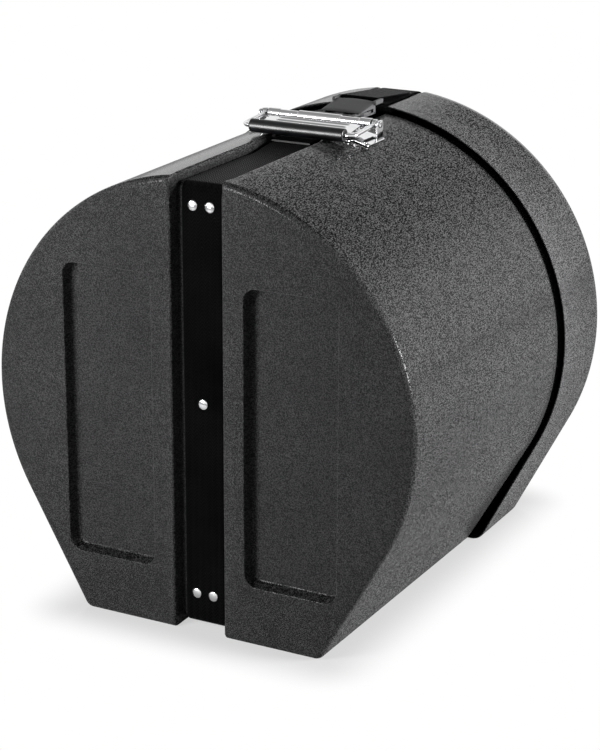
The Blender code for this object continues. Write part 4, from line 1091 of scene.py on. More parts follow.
@dataclass
class StrapChannel:
    """The channel that the strap lies in, with a flared mouth."""

    form: CaseForm
    front_depth: float = 0.0160
    top_depth: float = 0.0160
    bottom_depth: float = 0.0070
    front_round: float = 0.0030
    top_round: float = 0.0060
    lid_top_depth: float = 0.0040
    lid_back_depth: float = 0.0060
    lid_round: float = 0.0025
    bend: float = 0.0100
    bend_steps: int = 12

    def __post_init__(self) -> None:
        """Works out the height of the channel's floor on the base's top."""
        self.floor_top = self.form.base_top - self.top_depth

    def section(self, depth: float, edge_drop: float, edge_round: float, grow: float) -> list[Flat]:
        """Half width against depth: a flared mouth, a wall and a floor.

        Args:
            depth: The channel's depth.
            edge_drop: How far the round falls away at its edge.
            edge_round: The radius of its mouth.
            grow: A wall's thickness, to keep round it.

        Returns:
            The section's points.
        """
        half = self.form.channel_half + grow
        mouth = half + edge_round
        side = [(mouth, -self.form.overrun), (mouth, edge_drop - self.form.fit)]
        flare = min(edge_round, depth - edge_drop)
        for sine, cosine in sweep(self.form.fillet_steps)[1:]:
            side.append((mouth - edge_round * sine, edge_drop + flare * (1 - cosine)))
        side.append((half, depth + grow))
        return side + [(-x, place) for x, place in reversed(side)]

    def corner_exit(self, centre: Flat, out: Vector, corner: Flat) -> float:
        """How far a ray runs from a centre to the skin round the front edge's fillet.

        Args:
            centre: The ray's start, as distance from the front and height.
            out: Its direction.
            corner: The fillet's centre.

        Returns:
            The distance to the skin.
        """
        fillet = self.form.front_fillet
        spot = Vector(corner) - Vector(centre)
        rise = copysign(1, spot.y)
        along = spot.dot(out)
        inside = fillet ** 2 - (spot.length_squared - along ** 2)
        if inside > 0:
            reach = along + sqrt(inside)
            hit = Vector(centre) + out * reach
            if hit.x <= corner[0] and (hit.y - corner[1]) * rise >= 0:
                return reach
        to_front = centre[0] / -out.x if out.x < 0 else inf
        to_level = (spot.y + fillet * rise) / out.y if out.y * rise > 0 else inf
        return min(to_front, to_level)

    def base_path(self, rear: float) -> list[Sequence[float]]:
        """Floor places, outward directions, depths and rounds of the base's channel.

        Args:
            rear: Where the path starts and ends, behind the front face.

        Returns:
            For each station its place, height, direction back and up, depth and mouth radius.
        """
        form = self.form
        turn = self.bend - form.strap_thick / 2 - form.fit
        front, low = self.front_depth, self.bottom_depth
        stations: list[Sequence[float]] = [(rear, low, 0, -1, low, self.front_round)]
        crest = form.centre_height + form.shell_radius(front + turn) - form.front_fillet
        turns = sweep(self.bend_steps)
        for height, edge, ways, widening in (
            (low + turn, form.front_fillet, [(-sine, -cosine) for sine, cosine in turns], 0),
            (self.floor_top - turn, crest, [(-cosine, sine) for sine, cosine in turns],
             self.top_round - self.front_round),
        ):
            centre, corner = (front + turn, height), (form.front_fillet, edge)
            for index, out in enumerate(map(Vector, ways)):
                depth = self.corner_exit(centre, out, corner) - turn
                mouth = self.front_round + widening * index / self.bend_steps
                stations.append((*(Vector(centre) + out * turn), *out, depth, mouth))
        for place in (form.shoulder, rear):
            depth = form.centre_height + form.shell_radius(place) - self.floor_top
            stations.append((place, self.floor_top, 0, 1, depth, self.top_round))
        return stations

    def drop(self, radius: float) -> float:
        """How far the round falls away at the channel's edge."""
        return radius - sqrt(radius ** 2 - self.form.channel_half ** 2)

    def base_cutter(self, grow: float) -> Piece:
        """The channel swept along the base's underside, front and top.

        Args:
            grow: A wall's thickness, to keep round the channel.

        Returns:
            The cutter.
        """
        form = self.form
        rings = []
        drop = self.drop(form.base_radius)
        for place, height, out, up, depth, mouth in self.base_path(form.neck_end + form.overrun):
            rings.append([
                (x, form.from_front(place + out * (depth - into)), height + up * (depth - into))
                for x, into in self.section(depth, drop * max(up, 0), mouth, grow)
            ])
        return loft(rings)

    def lid_path(
        self, inset_top: float, inset_back: float, start: float, steps: int,
    ) -> list[Sequence[float]]:
        """Goes round the lid's middle, from top to bottom.

        Args:
            inset_top: How deep the path lies on top and underneath.
            inset_back: How deep it lies on the back.
            start: Where it starts, behind the front face.
            steps: Facets round each edge of the back.

        Returns:
            For each station its place and height on the skin, direction back and up, and inset.
        """
        form = self.form
        fillet = form.lid_back_fillet
        stations: list[Sequence[float]] = [(start, form.lid_top, 0, 1, inset_top)]
        centre = form.depth - fillet
        for index, (out, up) in enumerate(sweep(steps)):
            inset = inset_top + (inset_back - inset_top) * index / steps
            stations.append((centre + fillet * out, form.lid_top - fillet + fillet * up, out, up, inset))
        for index, (down, out) in enumerate(sweep(steps)):
            inset = inset_back + (inset_top - inset_back) * index / steps
            stations.append((centre + fillet * out, fillet - fillet * down, out, -down, inset))
        stations.append((start, 0, 0, -1, inset_top))
        return stations

    def lid_cutter(self, grow: float) -> Piece:
        """The channel swept over the lid's top, back and underside.

        Args:
            grow: A wall's thickness, to keep round the channel.

        Returns:
            The cutter.
        """
        form = self.form
        rings = []
        start = form.seam - form.overrun * 2
        path = self.lid_path(self.lid_top_depth, self.lid_back_depth, start, form.back_steps + 1)
        for place, height, out, up, depth in path:
            drop = self.drop(form.lid_radius) if up > 0 else 0
            rings.append([
                (x, form.from_front(place - out * into), height - up * into)
                for x, into in self.section(depth, drop * max(up, 0), self.lid_round, grow)
            ])
        return loft(rings)


@dataclass
class BaseShell:
    """The base: a moulded cup with two front panels, a channel and a neck."""

    form: CaseForm
    channel: StrapChannel
    panel: PressedPanel
    panel_past_foot: float = 0.0160
    panel_bottom: float = 0.0720
    panel_to_top: float = 0.1195
    neck_relief: float = 0.0010

    def ring(self, distance: float, inset: float, bottom: float) -> list[Place]:
        """The base's outline at a distance, moved in by an inset."""
        form = self.form
        radius = form.shell_radius(distance) - inset
        return form.ring(distance, radius, form.base_tilt, bottom, form.base_foot_fillet - inset)

    def skin(self) -> list[list[Place]]:
        """The outer rings, from the rounded front edge to the neck's end.

        Returns:
            The rings.
        """
        form = self.form
        front, shoulder = form.front_fillet, form.shoulder_fillet
        rings = [
            self.ring(front * (1 - cosine), front * (1 - sine), front * (1 - sine))
            for sine, cosine in sweep(form.fillet_steps)
        ]
        for sine, cosine in sweep(form.fillet_steps, acos(1 - form.neck_step / shoulder)):
            inset = shoulder * (1 - cosine)
            bottom = form.neck_bottom * inset / form.neck_step
            rings.append(self.ring(form.shoulder + shoulder * sine, inset, bottom))
        return rings + [self.ring(form.neck_end, form.neck_step, form.neck_bottom)]

    def hollow(self) -> list[list[Place]]:
        """The inner rings, one wall inside the skin.

        Returns:
            The rings.
        """
        form = self.form
        wall, corner = form.wall, form.front_fillet - form.wall
        neck, step = form.neck_step + wall, form.shoulder - wall
        return [
            self.ring(wall, wall + corner, wall + corner), self.ring(wall + corner, wall, wall),
            self.ring(step - corner, wall, wall), self.ring(step, neck, form.neck_bottom + wall),
            self.ring(form.neck_end + form.overrun, neck, form.neck_bottom + wall),
        ]

    def build(self) -> Piece:
        """Makes the shell's mesh.

        Returns:
            The shell.
        """
        form = self.form
        shell = loft(self.skin())
        hollow = loft(self.hollow())
        reach = (
            form.base_foot_half + self.panel_past_foot, self.panel_bottom,
            form.base_top - self.panel_to_top,
        )
        cuts, walls = (
            [self.channel.base_cutter(grow), *self.panel.pair(form.front_y, 1, reach, grow)]
            for grow in (0, form.wall)
        )
        half = form.channel_half + form.wall + self.channel.lid_round + self.neck_relief
        top = self.channel.lid_top_depth + form.wall + self.neck_relief
        front = form.from_front(form.shoulder + form.shoulder_fillet)
        rear = form.from_front(form.neck_end + form.overrun * 2)
        outer = half + form.wall
        walls.append(rounded_box((-outer, front - form.wall, 0), (outer, rear, top + form.wall), 0))
        cuts.append(rounded_box((-half, front, -form.overrun), (half, rear, top), 0))
        carve(hollow, walls)
        carve(shell, [*cuts, hollow])
        return smooth(shell, 38)

    def dress(self, workshop: Workshop) -> None:
        """Builds the shell and gives it its finish."""
        workshop.dress(self.build(), "base_shell_fine", Slot.BASE_SHELL, Body.BASE, "base_shell")


@dataclass
class LidShell:
    """The lid: a cap with a full round back edge, two panels and a channel."""

    form: CaseForm
    channel: StrapChannel
    panel: PressedPanel
    panel_inside_foot: float = 0.0230
    panel_to_fillet: float = 0.0650
    panel_to_top: float = 0.1462

    def ring(self, distance: float, inset: float, bottom: float) -> list[Place]:
        """The lid's outline at a distance, moved in by an inset."""
        form = self.form
        radius = form.lid_radius - inset
        return form.ring(distance, radius, form.lid_tilt, bottom, form.lid_foot_fillet - inset)

    def back(self, wall: float) -> list[list[Place]]:
        """The rings of the back edge, on the skin or one wall inside it.

        Args:
            wall: The wall's thickness, or zero for the skin.

        Returns:
            The rings.
        """
        form = self.form
        radius = form.lid_back_fillet - wall
        centre = form.depth - form.lid_back_fillet
        return [
            self.ring(centre + radius * sine, wall + radius * (1 - cosine), wall + radius * (1 - cosine))
            for sine, cosine in sweep(form.back_steps)
        ]

    def build(self) -> Piece:
        """Makes the lid's mesh.

        Returns:
            The lid.
        """
        form = self.form
        lip = form.lip_edge
        skin = [self.ring(form.seam, lip / 3, lip / 3), self.ring(form.seam + lip / 3, 0, 0)]
        shell = loft(skin + self.back(0))
        hollow = loft([
            self.ring(form.seam - form.overrun, lip, lip),
            self.ring(form.seam + lip, lip, lip),
            self.ring(form.seam + form.lip_chamfer, form.wall, form.wall),
        ] + self.back(form.wall))
        reach = (
            form.lid_foot_half - self.panel_inside_foot, form.lid_back_fillet + self.panel_to_fillet,
            form.lid_top - self.panel_to_top,
        )
        cuts, walls = (
            [self.channel.lid_cutter(grow), *self.panel.pair(form.back_y, -1, reach, grow)]
            for grow in (0, form.wall)
        )
        carve(hollow, walls)
        carve(shell, [*cuts, hollow])
        return smooth(shell, 38)

    def dress(self, workshop: Workshop) -> None:
        """Builds the lid and gives it its finish."""
        workshop.dress(self.build(), "lid_shell_fine", Slot.LID_SHELL, Body.LID, "lid_shell")


@dataclass
class HandleForm:
    """The handle's shared places, as distances from the front and heights."""

    form: CaseForm
    pivot_to_seam: float = 0.1148
    barrel_half: float = 0.0680
    barrel_radius: float = 0.0065
    barrel_side_radius: float = 0.0054
    barrel_end_radius: float = 0.0062
    barrel_bore: float = 0.0048
    barrel_mid_half: float = 0.0280
    barrel_end_length: float = 0.0150
    plate_thick: float = 0.0015
    plate_front_reach: float = 0.0340
    plate_rear_reach: float = 0.0130
    plate_tongue_reach: float = 0.0100
    grip_reach: float = 0.0570
    grip_drop: float = 0.0041
    grip_radius: float = 0.0080
    pin_radius: float = 0.0025
    cover_end_gap: float = 0.0080
    eye_half: float = 0.0024
    eye_side_gap: float = 0.0018
    ear_side_gap: float = 0.0022
    ear_thick: float = 0.0020
    plate_side_edge: float = 0.0018

    def __post_init__(self) -> None:
        """Works out the shared places; pivot, plate_front and the like count from the front face."""
        form = self.form
        self.pivot = form.seam - self.pivot_to_seam
        self.pivot_y = form.from_front(self.pivot)
        self.plate_front = self.pivot - self.plate_front_reach
        self.plate_rear = self.pivot + self.plate_rear_reach
        self.tongue_front = self.plate_front - self.plate_tongue_reach
        self.plate_seat = form.shell_radius(self.plate_rear) + form.fit
        self.pivot_z = (
            form.centre_height + self.plate_seat + self.plate_thick + form.fit + self.barrel_radius
        )
        self.grip = self.pivot - self.grip_reach
        self.grip_height = self.pivot_z - self.grip_drop
        self.arm_x = self.barrel_half + self.eye_side_gap + self.eye_half
        self.ear_inner = self.arm_x + self.eye_half + self.ear_side_gap
        self.plate_half = self.ear_inner + self.ear_thick + self.plate_side_edge


@dataclass
class BuckleForm:
    """The buckle's shared places."""

    form: CaseForm
    handle: HandleForm
    edge: float = 0.0015
    bar_radius: float = 0.0015
    bar_rise: float = 0.0020
    male_bar_to_plate: float = 0.0150
    male_rail_reach: float = 0.0040
    male_rail_thick: float = 0.0036
    male_block_to_bar: float = 0.0085
    male_block_length: float = 0.0085
    prong_rise: float = 0.0012
    prong_thick: float = 0.0040
    prong_inset: float = 0.0060
    prong_boss: float = 0.0020
    prong_reach: float = 0.0395
    prong_bulge: float = 0.0095
    tongue_half: float = 0.0050
    tongue_length: float = 0.0340
    female_to_male: float = 0.0070
    floor_thick: float = 0.0024
    roof_thick: float = 0.0022
    roof_rise: float = 0.0070
    roof_arch: float = 0.0016
    female_block_length: float = 0.0065
    female_bar_to_block: float = 0.0100
    female_bar_to_seam: float = 0.0088
    female_bar_drop: float = 0.0025
    female_rail_thick: float = 0.0044
    female_rail_reach: float = 0.0040
    rail_half_height: float = 0.0028

    def __post_init__(self) -> None:
        """Works out the shared places; blocks and bars count from the front face."""
        form = self.form
        self.half = form.strap_half + self.edge
        self.rail_inner = form.strap_half + form.fit * 2
        self.low_z = form.base_top + form.fit
        self.prong_low = self.low_z + self.prong_rise
        self.prong_top = self.prong_low + self.prong_thick
        self.male_bar = self.handle.plate_rear + self.male_bar_to_plate
        self.male_bar_z = form.base_top + self.bar_rise
        male_front = self.male_bar + self.male_block_to_bar
        self.male_block = (male_front, male_front + self.male_block_length)
        self.female_front = self.male_block[1] + self.female_to_male
        self.female_bar = form.seam - self.female_bar_to_seam
        female_rear = self.female_bar - self.female_bar_to_block
        self.female_block = (female_rear - self.female_block_length, female_rear)
        self.roof_front_z = self.prong_top + form.fit + self.roof_thick
        self.roof_rear_z = self.roof_front_z + self.roof_rise
        self.female_bar_z = self.roof_rear_z - self.female_bar_drop


@dataclass
class Strap:
    """The webbing in its two lengths, with woven edges and sealed ends."""

    form: CaseForm
    channel: StrapChannel
    handle: HandleForm
    buckle: BuckleForm
    end_to_shoulder: float = 0.0020
    fold_behind_grip: float = 0.0170
    fold_rise_length: float = 0.0400
    fold_rise: float = 0.0062
    lid_fold_to_fillet: float = 0.0177
    lid_end_to_seam: float = 0.0122
    lid_leave_to_seam: float = 0.0222
    male_loop: Flat = (radians(-70), radians(123))
    female_loop: Flat = (radians(85), radians(260))
    mitre_limit: float = 0.5
    across_steps: int = 30
    selvedge: float = 0.0013
    longest_step: float = 0.0060
    edge_crowding: float = 1.6
    least_edge: float = 0.12

    def __post_init__(self) -> None:
        """Works out how the strap's middle lies: above its seat, layer on layer, and round a bar."""
        self.lift = self.form.fit + self.form.strap_thick / 2
        self.layer = self.form.strap_thick + self.form.fit
        self.loop_radius = self.buckle.bar_radius + self.lift

    def base_path(self) -> list[Flat]:
        """From the rear of the underside, up the front, over the top, round the bar.

        Returns:
            Distances from the front and heights of the strap's middle.
        """
        form, handle = self.form, self.handle
        low = self.channel.bottom_depth - self.lift
        front = self.channel.front_depth - self.lift
        top = self.channel.floor_top + self.lift
        bend = self.channel.bend
        steps = self.channel.bend_steps
        seat = form.centre_height + sqrt(handle.plate_seat ** 2 - form.strap_half ** 2)
        upper = seat - self.lift
        under_grip = handle.grip_height - handle.grip_radius - form.fit * 2 - form.strap_thick / 2
        grip_rear = handle.grip + handle.grip_radius
        fold_end = handle.grip - self.fold_behind_grip
        fold_low = self.channel.floor_top + self.fold_rise
        path = [(form.shoulder - self.end_to_shoulder, low)]
        path += arc((front + bend, low + bend), bend, -pi / 2, -pi, steps)
        path += arc((front + bend, top - bend), bend, pi, pi / 2, steps)
        path += [
            (fold_end - self.fold_rise_length, top),
            (fold_end, fold_low),
            (grip_rear, under_grip - self.layer),
            (handle.plate_front, upper - self.layer),
            (handle.plate_rear + self.layer, upper - self.layer),
        ]
        bar = (self.buckle.male_bar, self.buckle.male_bar_z)
        path += arc(bar, self.loop_radius, *self.male_loop, steps)
        path += [
            (handle.plate_rear + self.layer, upper),
            (handle.plate_front, upper),
            (grip_rear, under_grip),
            (fold_end, fold_low + self.layer),
        ]
        return path

    def lid_path(self) -> list[Flat]:
        """From the fold's end, round the bar, over the lid and under its foot.

        Returns:
            Distances from the front and heights of the strap's middle.
        """
        form = self.form
        top_inset = self.channel.lid_top_depth - self.lift
        back_inset = self.channel.lid_back_depth - self.lift
        low = form.lid_top - top_inset
        fold_end = form.depth - form.lid_back_fillet - self.lid_fold_to_fillet
        path = [(fold_end, low + self.layer)]
        bar = (self.buckle.female_bar, self.buckle.female_bar_z)
        path += arc(bar, self.loop_radius, *self.female_loop, self.channel.bend_steps)
        path.append((form.seam + self.lid_leave_to_seam, low))
        start = form.seam + self.lid_end_to_seam
        stations = self.channel.lid_path(top_inset, back_inset, start, form.back_steps)
        for place, height, out, up, inset in stations[1:]:
            path.append((place - out * inset, height - up * inset))
        return path

    def divide(self, path: Sequence[Flat]) -> list[Flat]:
        """Adds points to a path's long straight runs.

        Args:
            path: The path.

        Returns:
            The path with its new points.
        """
        result = [path[0]]
        for start, end in zip(path, path[1:]):
            count = max(1, ceil(dist(start, end) / self.longest_step))
            for index in range(1, count + 1):
                result.append(tuple(Vector(start).lerp(Vector(end), index / count)))
        return result

    def section(self) -> list[Flat]:
        """The strap's cross-section: flat faces and rounded woven edges.

        Returns:
            The section's points.
        """
        half, thick = self.form.strap_half, self.form.strap_thick / 2
        upper = []
        for index in range(self.across_steps + 1):
            share = 2 * index / self.across_steps - 1
            across = half * copysign(1 - (1 - abs(share)) ** self.edge_crowding, share)
            past = max(abs(across) - (half - self.selvedge), 0) / self.selvedge
            upper.append((across, thick * max(sqrt(1 - past ** 2), self.least_edge)))
        return upper + [(across, -rise) for across, rise in reversed(upper)]

    def build(self, path: Sequence[Flat]) -> Piece:
        """Sweeps the section along a path and keeps its across and along places.

        Args:
            path: Distances from the front and heights of the strap's middle.

        Returns:
            The strap.
        """
        points = self.divide(path)
        section = self.section()
        rings, flow = [], []
        travelled = [0.0]
        for start, end in zip(points, points[1:]):
            travelled.append(travelled[-1] + dist(start, end))
        for index, point in enumerate(points):
            here = Vector(point)
            before = Vector(points[max(index - 1, 0)])
            after = Vector(points[min(index + 1, len(points) - 1)])
            into = (here - before).normalized() if index else (after - here).normalized()
            onward = (after - here).normalized() if index < len(points) - 1 else into
            bisector = (into + onward).normalized()
            across = Vector((-bisector.y, bisector.x))
            stretch = 1 / max(across.dot(Vector((-into.y, into.x))), self.mitre_limit)
            end_gap = min(travelled[index], travelled[-1] - travelled[index])
            ring = []
            for x, rise in section:
                spot = here + across * rise * stretch
                ring.append((x, self.form.from_front(spot.x), spot.y))
                flow.append((x, travelled[index], end_gap))
            rings.append(ring)
        strap = loft(rings)
        weave = strap.data.attributes.new("weave", "FLOAT_VECTOR", "POINT")
        weave.data.foreach_set("vector", [value for spot in flow for value in spot])
        return smooth(strap, 60)

    def dress(self, workshop: Workshop) -> None:
        """Builds both lengths and gives them their finish."""
        for node, body, path in (
            ("base_strap", Body.BASE, self.base_path()), ("lid_strap", Body.LID, self.lid_path()),
        ):
            workshop.dress(self.build(path), f"{node}_woven", Slot.WEBBING, body, node)


@dataclass
class Rivets:
    """The rivets and the washers behind the wall."""

    form: CaseForm
    channel: StrapChannel
    handle: HandleForm
    head_radius: float = 0.0062
    head_height: float = 0.0026
    shank_radius: float = 0.0020
    tail_radius: float = 0.0036
    tail_height: float = 0.0015
    washer_radius: float = 0.0070
    washer_thick: float = 0.0012
    washer_edge: float = 0.25
    handle_washer_radius: float = 0.0050
    pair_half: float = 0.0109
    to_top: float = 0.0230
    rise: float = 0.0045
    to_bottom: float = 0.0363
    lid_to_fillet: float = 0.0312
    bottom_to_shoulder: float = 0.0240
    handle_inset: float = 0.0090
    handle_to_channel: float = 0.0130
    coarse_arc: int = 38
    rim_share: float = 0.22
    dome_steps: int = 10

    def profile(self, grip: float) -> list[Flat]:
        """Radius against height: a low dome, a shank and a set tail.

        Args:
            grip: From the head's underside to the tail.

        Returns:
            The profile.
        """
        height, radius = self.head_height, self.head_radius
        rim = height * self.rim_share
        dome = [
            (radius * sine, rim + (height - rim) * cosine) for sine, cosine in sweep(self.dome_steps)[:-1]
        ]
        dome += [(radius, rim), (radius * 0.985, rim * 0.25), (radius * 0.95, 0)]
        tail = -grip - self.form.fit
        end = tail - self.tail_height
        return dome + [
            (self.shank_radius, 0), (self.shank_radius, tail), (self.tail_radius, tail),
            (self.tail_radius, end + self.tail_height * 0.4), (self.tail_radius * 0.7, end), (0, end),
        ]

    def add(
        self, workshop: Workshop, body: Body, node: str, seat: Vector, out: Vector, stack: float,
        washer_radius: float,
    ) -> None:
        """Makes one rivet and its washer.

        Args:
            workshop: Gives the finish.
            body: The body that they ride on.
            node: The rivet's CAD node.
            seat: The middle of the head's underside.
            out: The direction of the head.
            stack: The thickness between head and washer.
            washer_radius: The washer's radius.
        """
        fit = self.form.fit
        grip = stack + fit * 2 + self.washer_thick
        rivet = smooth(turned(self.profile(grip), seat, out), 40)
        workshop.dress(rivet, f"{node}_bright", Slot.RIVETS, body, node)
        node = node.replace("rivet", "washer")
        seat = seat - out * (stack + fit)
        bore, thick = self.shank_radius + fit, self.washer_thick
        section = ring_section(bore, washer_radius, -thick, 0, thick * self.washer_edge)
        ring = turned(section, seat, out, 32, True)
        workshop.dress(smooth(ring, 50), f"{node}_bright", Slot.RIVETS, body, node)

    def dress(self, workshop: Workshop) -> None:
        """Makes the strap's rivets and the handle's.

        Args:
            workshop: Gives the finish.
        """
        form, half = self.form, self.pair_half
        proud = form.strap_thick + form.fit * 2
        stack = proud + form.wall
        middle = form.centre_height + self.rise
        floor = self.channel.floor_top
        inset = form.lid_back_fillet + self.lid_to_fillet
        rows = (
            ("front_rivet", Body.BASE, form.front_y + self.channel.front_depth - proud, -1,
             floor - self.to_top, self.channel.bottom_depth + self.to_bottom),
            ("lid_rivet", Body.LID, form.back_y - self.channel.lid_back_depth + proud, 1,
             form.lid_top - inset, inset),
        )
        for family, body, y, way, high, low in rows:
            for word, x, z in (
                ("top_left", -half, high), ("top_right", half, high), ("middle", 0, middle),
                ("low_left", -half, low), ("low_right", half, low),
            ):
                self.add(workshop, body, f"{family}_{word}", Vector((x, y, z)), Vector((0, way, 0)),
                         stack, self.washer_radius)
        for side in Side:
            y = form.from_front(form.shoulder - self.bottom_to_shoulder)
            seat = Vector((side.value * half, y, self.channel.bottom_depth - proud))
            self.add(workshop, Body.BASE, f"bottom_rivet_{side.word}", seat, Vector((0, 0, -1)),
                     stack, self.washer_radius)
        self.handle_rivets(workshop)

    def handle_rivets(self, workshop: Workshop) -> None:
        """Makes the four rivets that hold the handle's plate.

        Args:
            workshop: Gives the finish.
        """
        form, handle = self.form, self.handle
        facet = (pi - 2 * form.base_tilt) / self.coarse_arc / 2
        sag = form.base_radius * (1 - cos(facet)) + self.handle_washer_radius * sin(facet)
        span = asin((form.channel_half + self.handle_to_channel) / handle.plate_seat)
        radius = handle.plate_seat + handle.plate_thick + form.fit
        for side in Side:
            for word, place in (
                ("front", handle.plate_front + self.handle_inset),
                ("rear", handle.plate_rear - self.handle_inset),
            ):
                out = Vector((side.value * sin(span), 0, cos(span)))
                seat = Vector((0, form.from_front(place), form.centre_height)) + out * radius
                stack = radius - form.shell_radius(place) + form.wall + sag
                self.add(workshop, Body.BASE, f"handle_rivet_{side.word}_{word}", seat, out, stack,
                         self.handle_washer_radius)


@dataclass
class HandlePlate:
    """The handle's pressed plate: a tongue, two window flanges and two ears."""

    handle: HandleForm
    edge: float = 0.0004
    corner: float = 0.0035
    window_length: float = 0.0300
    window_front_edge: float = 0.0060
    window_side_gap: float = 0.0005
    window_ear_gap: float = 0.0016
    window_corner: float = 0.0016
    ear_half: float = 0.0085
    ear_rise: float = 0.0046
    ear_corner: float = 0.0045
    ear_flare: float = 1.12
    ear_waist: float = 0.35
    bead: float = 0.0005
    slices: int = 56

    def window(self, side: Side) -> list[Flat]:
        """The outline of one flange's window.

        Args:
            side: The flange's side.

        Returns:
            The outline's points.
        """
        handle = self.handle
        outer = handle.ear_inner - self.window_ear_gap
        low, high = side.edges(handle.barrel_half + self.window_side_gap, outer)
        front = handle.form.from_front(handle.plate_front + self.window_front_edge)
        rear = front + self.window_length
        return round_corners([(low, front), (high, front), (high, rear), (low, rear)], self.window_corner)

    def bend(self, spot: Vector) -> Vector:
        """Bends a point of the flat plate to the shell's round.

        Args:
            spot: The flat place.

        Returns:
            The bent place.
        """
        handle = self.handle
        middle = handle.plate_seat + handle.plate_thick / 2
        radius, angle = middle + spot.z, spot.x / middle
        height = handle.form.centre_height + radius * cos(angle)
        return Vector((radius * sin(angle), spot.y, height))

    def build(self) -> Piece:
        """Makes the plate with its windows, beads and ears.

        Returns:
            The plate.
        """
        handle, form = self.handle, self.handle.form
        half, tongue = handle.plate_half, handle.barrel_half - handle.cover_end_gap
        front, rear = form.from_front(handle.plate_front), form.from_front(handle.plate_rear)
        tip = form.from_front(handle.tongue_front)
        outer = round_corners([
            (-tongue, tip), (tongue, tip), (tongue, front), (half, front),
            (half, rear), (-half, rear), (-half, front), (-tongue, front),
        ], self.corner)
        windows = [self.window(side) for side in Side]
        plate = flat_plate(outer, windows, handle.plate_thick, self.edge)
        slice_along(plate, 0, [half * (2 * index / self.slices - 1) for index in range(1, self.slices)])
        reshape(plate, self.bend)
        pieces = [plate]
        for side, window in zip(Side, windows):
            rim = [self.bend(Vector((x, y, handle.plate_thick / 2))) for x, y in window]
            pieces.append(wire([tuple(spot) for spot in rim], self.bead, 3, True))
            pieces.append(self.ear(side))
        return smooth(gather(pieces), 45)

    def ear(self, side: Side) -> Piece:
        """Makes one upright ear with its pin hole.

        Args:
            side: Its side of the plate.

        Returns:
            The ear.
        """
        handle, form = self.handle, self.handle.form
        foot = (form.centre_height + sqrt(handle.plate_seat ** 2 - handle.ear_inner ** 2)
                + handle.plate_thick / 3)
        half, corner = self.ear_half, self.ear_corner
        flare, waist = half * self.ear_flare, foot + half * self.ear_waist
        top = handle.pivot_z + self.ear_rise - corner
        outline = [(flare, foot), (half, waist)]
        outline += arc((half - corner, top), corner, 0, pi / 2, 10)
        outline += arc((corner - half, top), corner, pi / 2, pi, 10)
        outline += [(-half, waist), (-flare, foot)]
        hole = arc((0, handle.pivot_z), handle.pin_radius + form.fit, 0, 2 * pi, 28)[:-1]
        ear = flat_plate(outline, [hole], handle.ear_thick, self.edge * 1.4)
        middle = side.value * (handle.ear_inner + handle.ear_thick / 2)
        return reshape(ear, lambda spot: Vector((middle + spot.z, handle.pivot_y + spot.x, spot.y)))

    def dress(self, workshop: Workshop) -> None:
        """Builds the plate and gives it its finish."""
        workshop.dress(self.build(), "handle_plate_pressed", Slot.CHROME, Body.BASE, "handle_base_plate")


